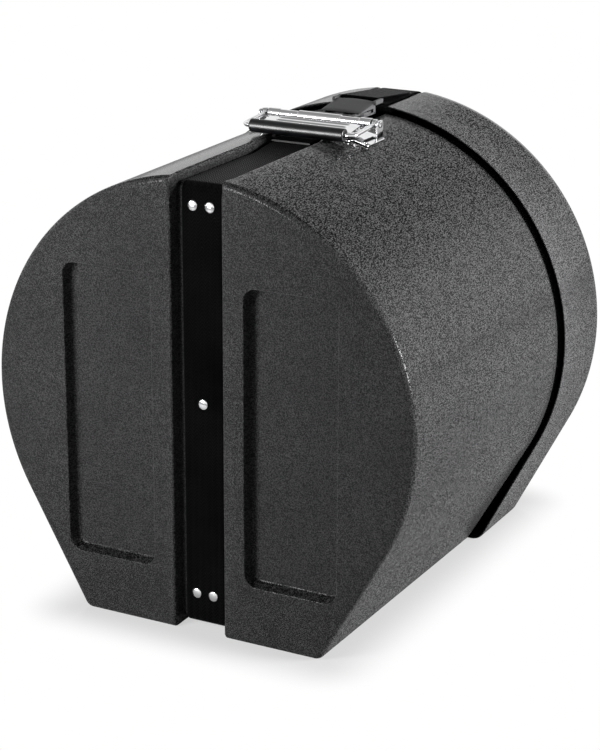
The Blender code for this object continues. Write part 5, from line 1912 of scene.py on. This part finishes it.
@dataclass
class HandleCover:
    """The stepped barrel and the ribbed sheet that slopes from it to the grip."""

    handle: HandleForm
    thick: float = 0.0015
    front_gap: float = 0.0025
    drop: float = 0.0047
    rib_height: float = 0.0013
    rib_width: float = 0.0052
    rib_count: int = 3
    slot_inset: float = 0.0040
    slot_half: float = 0.0030
    step_round: float = 0.0006
    across: int = 120
    down: int = 48

    def barrel(self) -> Piece:
        """The tube round the pin, with soft steps and rolled ends.

        Returns:
            The barrel.
        """
        handle = self.handle
        ends = handle.barrel_half - handle.barrel_end_length
        soft = self.step_round
        rim = handle.barrel_end_radius
        side, end = handle.barrel_side_radius, handle.barrel_half
        half: list[Flat] = [
            (handle.barrel_radius, 0.0), (handle.barrel_radius, handle.barrel_mid_half - soft),
            (handle.barrel_radius - soft * 0.4, handle.barrel_mid_half - soft * 0.3),
            (side + soft * 0.3, handle.barrel_mid_half + soft * 0.4),
            (side, handle.barrel_mid_half + soft * 1.3), (side, ends - soft), (side + soft * 0.3, ends),
            (rim - soft * 0.3, ends + soft * 0.6), (rim, ends + soft * 1.4),
            (rim, end - soft), (rim - soft * 0.3, end - soft * 0.3), (rim - soft, end),
            (handle.barrel_bore + soft * 0.6, end), (handle.barrel_bore, end - soft),
        ]
        seat = (0, handle.pivot_y, handle.pivot_z)
        return turned(mirrored(half), seat, (1, 0, 0), 64, True)

    def sheet(self) -> Piece:
        """The pressed sheet as a thick grid with rounded ribs and two slots.

        Returns:
            The sheet.
        """
        handle = self.handle
        half = handle.barrel_half - handle.cover_end_gap
        front = handle.form.from_front(handle.tongue_front + self.front_gap)
        rear = handle.pivot_y - handle.barrel_bore
        low, high = handle.pivot_z - self.drop, handle.pivot_z + self.thick / 2
        rib_end = half - self.slot_inset - self.slot_half * 3
        slot_x = half - self.slot_inset
        slot_rear = handle.pivot_y - handle.barrel_end_radius - handle.form.fit
        rib_span = handle.pivot_y - handle.barrel_radius - front
        work = bmesh.new()
        rows = []
        for down in range(self.down + 1):
            share = down / self.down
            y = front + (rear - front) * share
            row = []
            for index in range(self.across + 1):
                x = half * (2 * index / self.across - 1)
                rise = 0.0
                fade = min(max((rib_end - abs(x)) / self.rib_width, 0), 1)
                for rib in range(self.rib_count):
                    middle = front + rib_span * (rib + 1) / (self.rib_count + 1)
                    near = abs(y - middle) / (self.rib_width / 2)
                    if near < 1:
                        rise = self.rib_height * cos(near * pi / 2) ** 2
                rise *= fade * fade * (3 - 2 * fade)
                lip = min(max((y - front) / self.thick, 0), 1)
                curl = self.thick * 0.5 * (1 - lip) ** 2
                row.append(work.verts.new((x, y, low + (high - low) * share + rise - curl)))
            rows.append(row)
        for first, second in zip(rows, rows[1:]):
            for index in range(self.across):
                corners = (first[index], first[index + 1], second[index + 1], second[index])
                middle = sum((corner.co for corner in corners), Vector()) / len(corners)
                in_slot = abs(abs(middle.x) - slot_x) < self.slot_half and (
                    slot_rear - self.slot_half * 2 < middle.y < slot_rear)
                if not in_slot:
                    work.faces.new(corners)
        loose = [corner for corner in work.verts if not corner.link_faces]
        bmesh.ops.delete(work, geom=loose, context="VERTS")
        sheet = from_bmesh(work)
        solid = sheet.modifiers.new("thicken", "SOLIDIFY")
        solid.thickness = self.thick
        solid.offset = -1 if sheet.data.polygons[0].normal.z > 0 else 1
        return settle(sheet)

    def dress(self, workshop: Workshop) -> None:
        """Builds the cover and gives it its finish."""
        cover = gather([self.barrel(), self.sheet()])
        cover = smooth(cover, 45)
        workshop.dress(cover, "handle_cover_pressed", Slot.CHROME, Body.BASE, "handle_cover")


@dataclass
class HandlePin:
    """The hinge pin and the two springs round it."""

    handle: HandleForm
    head_radius: float = 0.0042
    head_thick: float = 0.0012
    head_shares: tuple[Flat, ...] = ((0.93, 0.0), (1.0, 0.25), (0.95, 0.6), (0.7, 0.9), (0.0, 1.0))
    spring_wire: float = 0.0006
    spring_radius: float = 0.0036
    spring_length: float = 0.0240
    spring_end_gap: float = 0.0040
    turns: int = 6
    points_per_turn: int = 26

    def pin(self) -> Piece:
        """Makes the pin with a domed head at each end.

        Returns:
            The pin.
        """
        handle = self.handle
        face = handle.ear_inner + handle.ear_thick + handle.form.fit
        half = [(handle.pin_radius, face)]
        half += [
            (self.head_radius * out, face + self.head_thick * along) for out, along in self.head_shares
        ]
        seat = (0, handle.pivot_y, handle.pivot_z)
        return smooth(turned(mirrored(half), seat, (1, 0, 0)), 40)

    def spring(self, side: Side) -> Piece:
        """Makes one coil spring.

        Args:
            side: Its side of the middle.

        Returns:
            The spring.
        """
        handle = self.handle
        end = handle.barrel_half - self.spring_end_gap
        start = end - self.spring_length
        count = self.turns * self.points_per_turn
        points = []
        for index in range(count + 1):
            angle = 2 * pi * index / self.points_per_turn
            points.append((
                side.value * (start + (end - start) * index / count),
                handle.pivot_y + self.spring_radius * cos(angle),
                handle.pivot_z + self.spring_radius * sin(angle),
            ))
        return smooth(wire(points, self.spring_wire, 3), 60)

    def dress(self, workshop: Workshop) -> None:
        """Builds the pin and springs and gives them their finishes.

        Args:
            workshop: Gives the finishes.
        """
        workshop.dress(self.pin(), "handle_pin_bright", Slot.CHROME, Body.BASE, "handle_pin")
        for side in Side:
            node = f"handle_spring_{side.word}"
            workshop.dress(self.spring(side), f"{node}_coil", Slot.STEEL, Body.BASE, node)


@dataclass
class Bail:
    """The bent rod with an eye at each end, and the rubber grip on it."""

    handle: HandleForm
    rod_radius: float = 0.0027
    bend: float = 0.0080
    eye_radius: float = 0.0056
    eye_edge: float = 0.0006
    grip_end_gap: float = 0.0107
    grip_edge: float = 0.0015
    bend_steps: int = 14

    def rod(self) -> Piece:
        """Makes the rod and its two eyes.

        Returns:
            The rod and eyes as one piece.
        """
        handle = self.handle
        grip_y = handle.form.from_front(handle.grip)
        level = handle.grip_height
        x = handle.arm_x
        pivot = Vector((x, handle.pivot_y, handle.pivot_z))
        arm = (pivot - Vector((x, grip_y, level))).normalized()
        right = [pivot - arm * (handle.pin_radius + handle.form.fit * 3)]
        for sine, cosine in sweep(self.bend_steps):
            corner = Vector((x - self.bend * (1 - cosine), grip_y, level))
            right.append(corner + arm * self.bend * (1 - sine))
        left = [Vector((-spot.x, spot.y, spot.z)) for spot in reversed(right)]
        pieces = [wire([tuple(spot) for spot in right + left], self.rod_radius, 6)]
        bore = handle.pin_radius + handle.form.fit
        width = handle.eye_half
        section = ring_section(bore, self.eye_radius, -width, width, self.eye_edge)
        for side in Side:
            seat = (side.value * x, handle.pivot_y, handle.pivot_z)
            pieces.append(turned(section, seat, (1, 0, 0), 40, True))
        return smooth(gather(pieces), 50)

    def grip(self) -> Piece:
        """Makes the grip with rolled ends.

        Returns:
            The grip.
        """
        handle = self.handle
        half = handle.arm_x - self.grip_end_gap
        radius, edge = handle.grip_radius, self.grip_edge
        bore = self.rod_radius + handle.form.fit
        side: list[Flat] = [(radius, 0.0), (radius, half * 0.5), (radius, half - edge * 1.6)]
        side += [(radius - edge * (1 - cosine), half - edge * (1 - sine)) for sine, cosine in sweep(6)]
        side += [(bore + edge * 0.4, half), (bore, half - edge * 0.4)]
        seat = (0, handle.form.from_front(handle.grip), handle.grip_height)
        return smooth(turned(mirrored(side), seat, (1, 0, 0), 72, True), 50)

    def dress(self, workshop: Workshop) -> None:
        """Builds the rod and grip and gives them their finishes."""
        workshop.dress(self.rod(), "handle_bail_bent", Slot.CHROME, Body.BAIL, "handle_bail")
        workshop.dress(self.grip(), "handle_grip_rubber", Slot.RUBBER, Body.BAIL, "handle_grip")


@dataclass
class Buckle:
    """The side release buckle: male body, two sprung arms and female body."""

    sizes: BuckleForm
    edge: float = 0.0006
    outer_shares: tuple[Flat, ...] = (
        (0.04, 0.20), (0.28, 0.20), (0.40, 0.66), (0.52, 0.94), (0.64, 1.00),
        (0.78, 0.86), (0.92, 0.50), (1.00, 0.10),
    )
    inner_shares: tuple[Flat, ...] = (
        (0.97, -0.14), (0.80, -0.08), (0.55, -0.12), (0.30, -0.16), (0.04, -0.20),
    )
    hole_shares: tuple[Flat, ...] = (
        (0.46, 0.42), (0.52, 0.62), (0.64, 0.70), (0.76, 0.58), (0.82, 0.38),
        (0.76, 0.24), (0.64, 0.20), (0.52, 0.24),
    )
    prong_corner: float = 0.0030
    roof_steps: int = 28
    roof_lengthwise: int = 14
    roof_shoulder: float = 0.93
    block_edge: float = 0.0010
    male_rail_edge: float = 0.0009
    female_rail_edge: float = 0.0012
    rib_count: int = 3
    rib_reach: float = 0.7
    rib_half: float = 0.0005
    rib_span: Flat = (-0.0003, 0.0002)
    rib_edge: float = 0.0002

    def block(self, x: Flat, y: Flat, z: Flat, edge: float | None = None) -> Piece:
        """A rounded block from its spans in X, behind the front face and in Z."""
        front, rear = (self.sizes.form.from_front(place) for place in y)
        return rounded_box((x[0], front, z[0]), (x[1], rear, z[1]), edge or self.edge)

    def carrier(self, thick: float, seat: Flat, y: Flat, z: Flat, edge: float) -> list[Piece]:
        """Makes a strap bar and the rails that carry it.

        Args:
            thick: The rails' thickness.
            seat: The bar's distance behind the front face, and its height.
            y: The rails' front and rear.
            z: The rails' low and high Z.
            edge: The radius of the rails' edges.

        Returns:
            The bar and the two rails.
        """
        inner, radius = self.sizes.rail_inner, self.sizes.bar_radius
        half = inner + thick / 2
        axle = (0, self.sizes.form.from_front(seat[0]), seat[1])
        profile: list[Flat] = [(0, -half), (radius, -half), (radius, half), (0, half)]
        rails = [self.block(side.edges(inner, inner + thick), y, z, edge) for side in Side]
        return [turned(profile, axle, (1, 0, 0), 24), *rails]

    def male(self) -> Piece:
        """Makes the male body: a bar for the strap, a cross block and a tongue.

        Returns:
            The male body.
        """
        size = self.sizes
        fit = size.form.fit
        front, rear = size.male_block
        bar, height = size.male_bar, size.male_bar_z
        block_z = (size.low_z, size.prong_top)
        tongue_y = (rear - size.male_block_length / 3, rear + size.tongue_length)
        tongue_z = (size.prong_low, size.prong_top - fit)
        pieces = [
            self.block((-size.half, size.half), (front, rear), block_z, self.block_edge),
            self.block((-size.tongue_half, size.tongue_half), tongue_y, tongue_z),
        ]
        rail_y = (bar - size.male_rail_reach, front + size.male_block_length / 2)
        rail_z = (size.low_z - fit, height + size.bar_radius + fit)
        pieces += self.carrier(size.male_rail_thick, (bar, height), rail_y, rail_z, self.male_rail_edge)
        rib_x = (-size.half * self.rib_reach, size.half * self.rib_reach)
        rib_z = tuple(size.prong_top + rise for rise in self.rib_span)
        for index in range(self.rib_count):
            middle = front + size.male_block_length * (index + 1) / (self.rib_count + 1)
            rib_y = (middle - self.rib_half, middle + self.rib_half)
            pieces.append(self.block(rib_x, rib_y, rib_z, self.rib_edge))
        return smooth(gather(pieces), 40)

    def prong(self, side: Side) -> Piece:
        """Makes one sprung arm.

        Args:
            side: Its side of the buckle.

        Returns:
            The arm.
        """
        size = self.sizes
        pivot_y = size.form.from_front(size.male_block[1] + size.prong_boss + size.form.fit * 2)
        pivot_x = size.half - size.prong_inset

        def places(shares: Iterable[Flat]) -> list[Flat]:
            """Places of shares of the arm's reach and bulge."""
            return [(pivot_x + size.prong_bulge * bulge, pivot_y + size.prong_reach * reach)
                    for reach, bulge in shares]

        root = arc((pivot_x, pivot_y), size.prong_boss, pi, 2 * pi, 10)
        rim = places(self.outer_shares) + places(self.inner_shares)
        outer = root + round_corners(rim, self.prong_corner, 3)
        hole = round_corners(places(self.hole_shares), self.prong_corner, 3)
        prong = flat_plate(outer, [hole], size.prong_thick, self.edge)
        middle = size.prong_low + size.prong_thick / 2
        reshape(prong, lambda spot: Vector((side.value * spot.x, spot.y, middle + spot.z)))
        if side is Side.LEFT:
            prong.data.flip_normals()
        return smooth(prong, 40)

    def roof(self) -> Piece:
        """The arched top, with a thick rounded edge.

        Returns:
            The roof.
        """
        size = self.sizes
        low = size.prong_top + size.form.fit
        rows = []
        for index in range(self.roof_lengthwise + 1):
            share = index / self.roof_lengthwise
            place = size.female_front + (size.female_block[1] - size.female_front) * share
            y = size.form.from_front(place)
            soft = self.edge * (1 - min(min(share, 1 - share) * self.roof_lengthwise, 1))
            half = size.half - soft
            height = size.roof_front_z + size.roof_rise * share - soft
            ring = [(half, y, low)]
            for step in range(self.roof_steps + 1):
                across = 1 - 2 * step / self.roof_steps
                rounding = max(abs(across) - self.roof_shoulder, 0) / (1 - self.roof_shoulder)
                drop = size.roof_arch * across ** 2 + self.edge * 1.3 * rounding ** 2
                ring.append((half * across, y, height - drop))
            rows.append(ring + [(-half, y, low)])
        return loft(rows)

    def female(self) -> Piece:
        """Makes the female body: floor, arched roof, block, side rails and bar.

        Returns:
            The female body.
        """
        size = self.sizes
        fit = size.form.fit
        floor_top = size.prong_low - fit
        low = floor_top - size.floor_thick
        front, rear = size.female_block
        bar, height = size.female_bar, size.female_bar_z
        across = (-size.half, size.half)
        pieces = [
            self.block(across, (size.female_front, rear), (low, floor_top)),
            self.roof(),
            self.block(across, (front, rear - fit), (low + fit, size.prong_top + fit * 2)),
        ]
        rail_y = (front, bar + size.female_rail_reach)
        rail_z = (height - size.rail_half_height, height + size.rail_half_height)
        pieces += self.carrier(
            size.female_rail_thick, (bar, height), rail_y, rail_z, self.female_rail_edge,
        )
        return smooth(gather(pieces), 40)

    def dress(self, workshop: Workshop) -> None:
        """Builds the buckle's four parts and gives them their finish.

        Args:
            workshop: Gives the finish.
        """
        workshop.dress(self.male(), "buckle_male_moulded", Slot.ACETAL, Body.BASE, "buckle_male")
        for side, body in ((Side.LEFT, Body.RELEASE_LEFT), (Side.RIGHT, Body.RELEASE_RIGHT)):
            node = f"buckle_prong_{side.word}"
            workshop.dress(self.prong(side), f"{node}_moulded", Slot.ACETAL, body, node)
        workshop.dress(self.female(), "buckle_female_moulded", Slot.ACETAL, Body.LID, "buckle_female")


@dataclass
class Padding:
    """Two foam rails on the base's floor and a foam disc inside the lid's back."""

    form: CaseForm
    panel: PressedPanel
    to_channel: float = 0.0200
    inside_foot: float = 0.0220
    thick: float = 0.0120
    front: float = 0.0300
    to_shoulder: float = 0.0130
    lid_edge_gap: float = 0.1067
    lid_thick: float = 0.0080
    edge: float = 0.0025
    crown: float = 0.0008
    sag: float = 0.0003
    wave_height: float = 0.0002
    waves: Flat = (70.0, 110.0)
    slices: tuple[int, int] = (14, 40)

    def rail(self, side: Side) -> Piece:
        """Makes one foam rail with soft edges and a slight crown.

        Args:
            side: Its side of the channel.

        Returns:
            The rail.
        """
        form = self.form
        outer = form.base_foot_half - self.inside_foot
        low_x, high_x = side.edges(form.channel_half + self.to_channel, outer)
        low_y, high_y = form.from_front(self.front), form.from_front(form.shoulder - self.to_shoulder)
        seat = form.wall + form.fit
        rail = rounded_box((low_x, low_y, seat), (high_x, high_y, seat + self.thick), self.edge, 5)
        spans = ((low_x, high_x), (low_y, high_y))
        for axis, ((low, high), count) in enumerate(zip(spans, self.slices)):
            slice_along(rail, axis, [low + (high - low) * index / count for index in range(1, count)])
        middle, half = (low_x + high_x) / 2, (high_x - low_x) / 2

        def press(spot: Vector) -> Vector:
            """Sinks the top a little towards the long edges and in slow waves.

            Args:
                spot: A point of the rail.

            Returns:
                Its new place.
            """
            share = max(spot.z - seat - self.thick / 2, 0) / (self.thick / 2)
            waves = sin(spot.y * self.waves[0]) * sin(spot.x * self.waves[1])
            fall = self.crown * ((spot.x - middle) / half) ** 2
            spot.z -= share * (fall + self.sag + self.wave_height * waves)
            return spot

        return smooth(reshape(rail, press), 50)

    def disc(self) -> Piece:
        """Makes the lid's foam disc with a soft edge.

        Returns:
            The disc.
        """
        form = self.form
        rear = form.back_y - self.panel.depth - form.wall - form.fit
        full = form.lid_radius - self.lid_edge_gap
        profile: list[Flat] = [(0, 0), (full * 0.5, 0), (full - 0.0004, 0), (full, 0.0004)]
        thick, edge = self.lid_thick, self.edge
        profile += [(full - edge * (1 - cosine), thick - edge * (1 - sine)) for sine, cosine in sweep(6)]
        profile += [(full * share, thick - self.sag * (1 - share)) for share in (0.9, 0.7, 0.4, 0)]
        return smooth(turned(profile, (0, rear, form.centre_height), (0, -1, 0), 96), 50)

    def dress(self, workshop: Workshop) -> None:
        """Args:
            workshop: Gives the finish.
        """
        rows = [(self.rail(side), Body.BASE, f"base_pad_{side.word}") for side in Side]
        for pad, body, node in (*rows, (self.disc(), Body.LID, "lid_pad")):
            workshop.dress(pad, f"{node}_foam", Slot.FOAM, body, node)


@dataclass(frozen=True)
class SoftLamp:
    """A rectangular studio lamp aimed at the case."""

    name: str
    place: Place
    size: Flat
    power: float
    mirrored: bool = True
    target: Place = (0.0, 0.0, 0.27)

    def hang(self) -> None:
        """Adds the lamp to the scene."""
        data = bpy.data.lights.new(self.name, "AREA")
        data.shape = "RECTANGLE"
        data.size, data.size_y = self.size
        data.energy = self.power
        lamp = add_object(self.name, data)
        lamp.visible_glossy = self.mirrored
        lamp.location = self.place
        aim = Vector(self.target) - Vector(self.place)
        lamp.rotation_euler = aim.to_track_quat("-Z", "Y").to_euler()


@dataclass
class Studio:
    """The floor, the white surroundings, the lamps and the camera."""

    eye: Place = (1.1513, -2.2229, 1.0637)
    back: Place = (0.44074461, -0.84043055, 0.31531043)
    roll: float = -0.26847
    focal: float = 2158.53
    picture: Flat = (600.0, 750.0)
    middle: Flat = (302.03, 374.67)
    film: float = 36.0
    floor_size: float = 14.0
    ambient: float = 0.04
    gloss: float = 0.90
    white: Place = (1.0, 1.0, 1.0)
    floor_colour: Place = (0.30, 0.30, 0.30)
    floor_gloss: float = 0.15
    ceiling: Flat = (0.42, 0.80)
    ceiling_gloss: float = 0.24
    foot: Flat = (0.158, 0.277)
    floor_glow: Flat = (0.56, 1.0)
    # Over this distance from the foot the glow rises from its low share: a painted shade round the foot.
    foot_shade_reach: Flat = (0.0, 0.08)
    lamps: tuple[SoftLamp, ...] = (
        SoftLamp("front_left", (-0.42, -1.12, 0.60), (0.38, 0.5), 18.5),
        SoftLamp("right_rear", (3.0, 0.90, 0.95), (1.2, 1.0), 275.0),
        SoftLamp("left_rear", (-1.9, 2.4, 1.9), (0.9, 0.8), 60.0, False),
    )

    def camera(self) -> None:
        """Places the camera at the photograph's viewpoint."""
        data = bpy.data.cameras.new("camera")
        largest = max(self.picture)
        data.sensor_width = self.film
        data.lens = self.focal * self.film / largest
        data.shift_x = (self.picture[0] / 2 - self.middle[0]) / largest
        data.shift_y = (self.middle[1] - self.picture[1] / 2) / largest
        data.clip_start, data.clip_end = 0.05, 60.0
        camera = add_object("camera", data)
        back = Vector(self.back).normalized()
        level = (-back).cross(Vector((0, 0, 1))).normalized()
        down = (-back).cross(level)
        turn = radians(self.roll)
        right = level * cos(turn) + down * sin(turn)
        up = back.cross(right)
        turned_to = Matrix((right, up, back)).transposed().to_4x4()
        camera.matrix_world = Matrix.Translation(self.eye) @ turned_to
        bpy.context.scene.camera = camera

    def seen_directly(self, graph: Graph, gloss: Socket | float) -> Socket:
        """One where the camera looks, less for a reflection, and zero for other rays.

        Args:
            graph: The graph to add to.
            gloss: What a reflection sees.

        Returns:
            The share.
        """
        camera = graph.node("ShaderNodeLightPath", output="Is Camera Ray")
        glossy = graph.node("ShaderNodeLightPath", output="Is Glossy Ray")
        return camera.math("MAXIMUM", camera, glossy * gloss)

    def floor(self) -> None:
        """Lays a pale floor that shows white and keeps the case's shadow, with painted shade round the
        case's foot where it glows less.
        """
        half = self.floor_size / 2
        mesh = bpy.data.meshes.new("floor")
        corners = [(-half, -half, 0), (half, -half, 0), (half, half, 0), (-half, half, 0)]
        mesh.from_pydata(corners, [], [(0, 1, 2, 3)])
        floor = add_object("floor", mesh)
        graph = Graph.of_finish("studio_floor", {"Roughness": 0.95, "Specular IOR Level": 0.0})
        graph.feed(graph.shader.inputs["Base Color"], self.floor_colour)
        glow = graph.node("ShaderNodeEmission", None, {"Color": self.white, "Strength": 1.0})
        x, y, _ = graph.split(graph.place())
        over_x = x.math("MAXIMUM", abs(x) - self.foot[0], 0)
        over_y = y.math("MAXIMUM", abs(y) - self.foot[1], 0)
        away = (over_x * over_x + over_y * over_y) ** 0.5
        # Less glow near the foot lets the dim floor colour show: painted shade round the case's foot, on
        # top of its real shadow.
        glow_past_foot_shade = away.ease(*self.foot_shade_reach, *self.floor_glow)
        share = self.seen_directly(graph, self.floor_gloss) * glow_past_foot_shade
        shader = Socket(graph, graph.shader.outputs[0])
        mixed = graph.node("ShaderNodeMixShader", None, {0: share, 1: shader, 2: glow})
        graph.feed(graph.tree.nodes["Material Output"].inputs["Surface"], mixed)
        mesh.materials.append(graph.owner)

    def surroundings(self) -> None:
        """Makes the world white to look at and soft as a light."""
        world = bpy.data.worlds.new("studio")
        bpy.context.scene.world = world
        graph = Graph(world)
        soft = graph.tree.nodes["Background"]
        graph.feed(soft.inputs["Color"], self.white)
        graph.feed(soft.inputs["Strength"], self.ambient)
        bright = graph.node("ShaderNodeBackground", None, {"Color": self.white, "Strength": 1.0})
        _, _, height = graph.split(graph.node("ShaderNodeTexCoord", output="Generated"))
        share = self.seen_directly(graph, height.ease(*self.ceiling, self.gloss, self.ceiling_gloss))
        mixed = graph.node(
            "ShaderNodeMixShader", None, {0: share, 1: Socket(graph, soft.outputs[0]), 2: bright},
        )
        graph.feed(graph.tree.nodes["World Output"].inputs["Surface"], mixed)

    def build(self) -> None:
        """Sets up the whole studio."""
        self.camera()
        self.floor()
        self.surroundings()
        for lamp in self.lamps:
            lamp.hang()
        bpy.context.scene.view_settings.view_transform = "Standard"


def main() -> None:
    """Builds the studio and dresses the case, piece by piece."""
    logging.basicConfig(level=logging.INFO, format="%(name)s %(message)s")
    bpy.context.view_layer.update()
    Studio().build()
    workshop = Workshop([
        MouldedPlastic(Slot.BASE_SHELL), MouldedPlastic(Slot.LID_SHELL), Webbing(),
        PlatedMetal(Slot.RIVETS, roughness=0.16), PlatedMetal(Slot.CHROME), GripRubber(), BuckleAcetal(),
        PlatedMetal(Slot.STEEL, colour=(0.52, 0.52, 0.53), roughness=0.28), OpenFoam(),
    ])
    form = CaseForm()
    channel, panel = StrapChannel(form), PressedPanel(form)
    lid_panel = PressedPanel(form, depth=0.0100, mouth_round=0.0030)
    handle = HandleForm(form)
    buckle = BuckleForm(form, handle)
    for assembly in (
        BaseShell(form, channel, panel), LidShell(form, channel, lid_panel),
        Strap(form, channel, handle, buckle), Rivets(form, channel, handle),
        HandlePlate(handle), HandleCover(handle), HandlePin(handle), Bail(handle),
        Buckle(buckle), Padding(form, lid_panel),
    ):
        LOG.info("building %s", type(assembly).__name__)
        assembly.dress(workshop)
    LOG.info("%d pieces dressed", workshop.count)


if __name__ == "__main__":
    main()
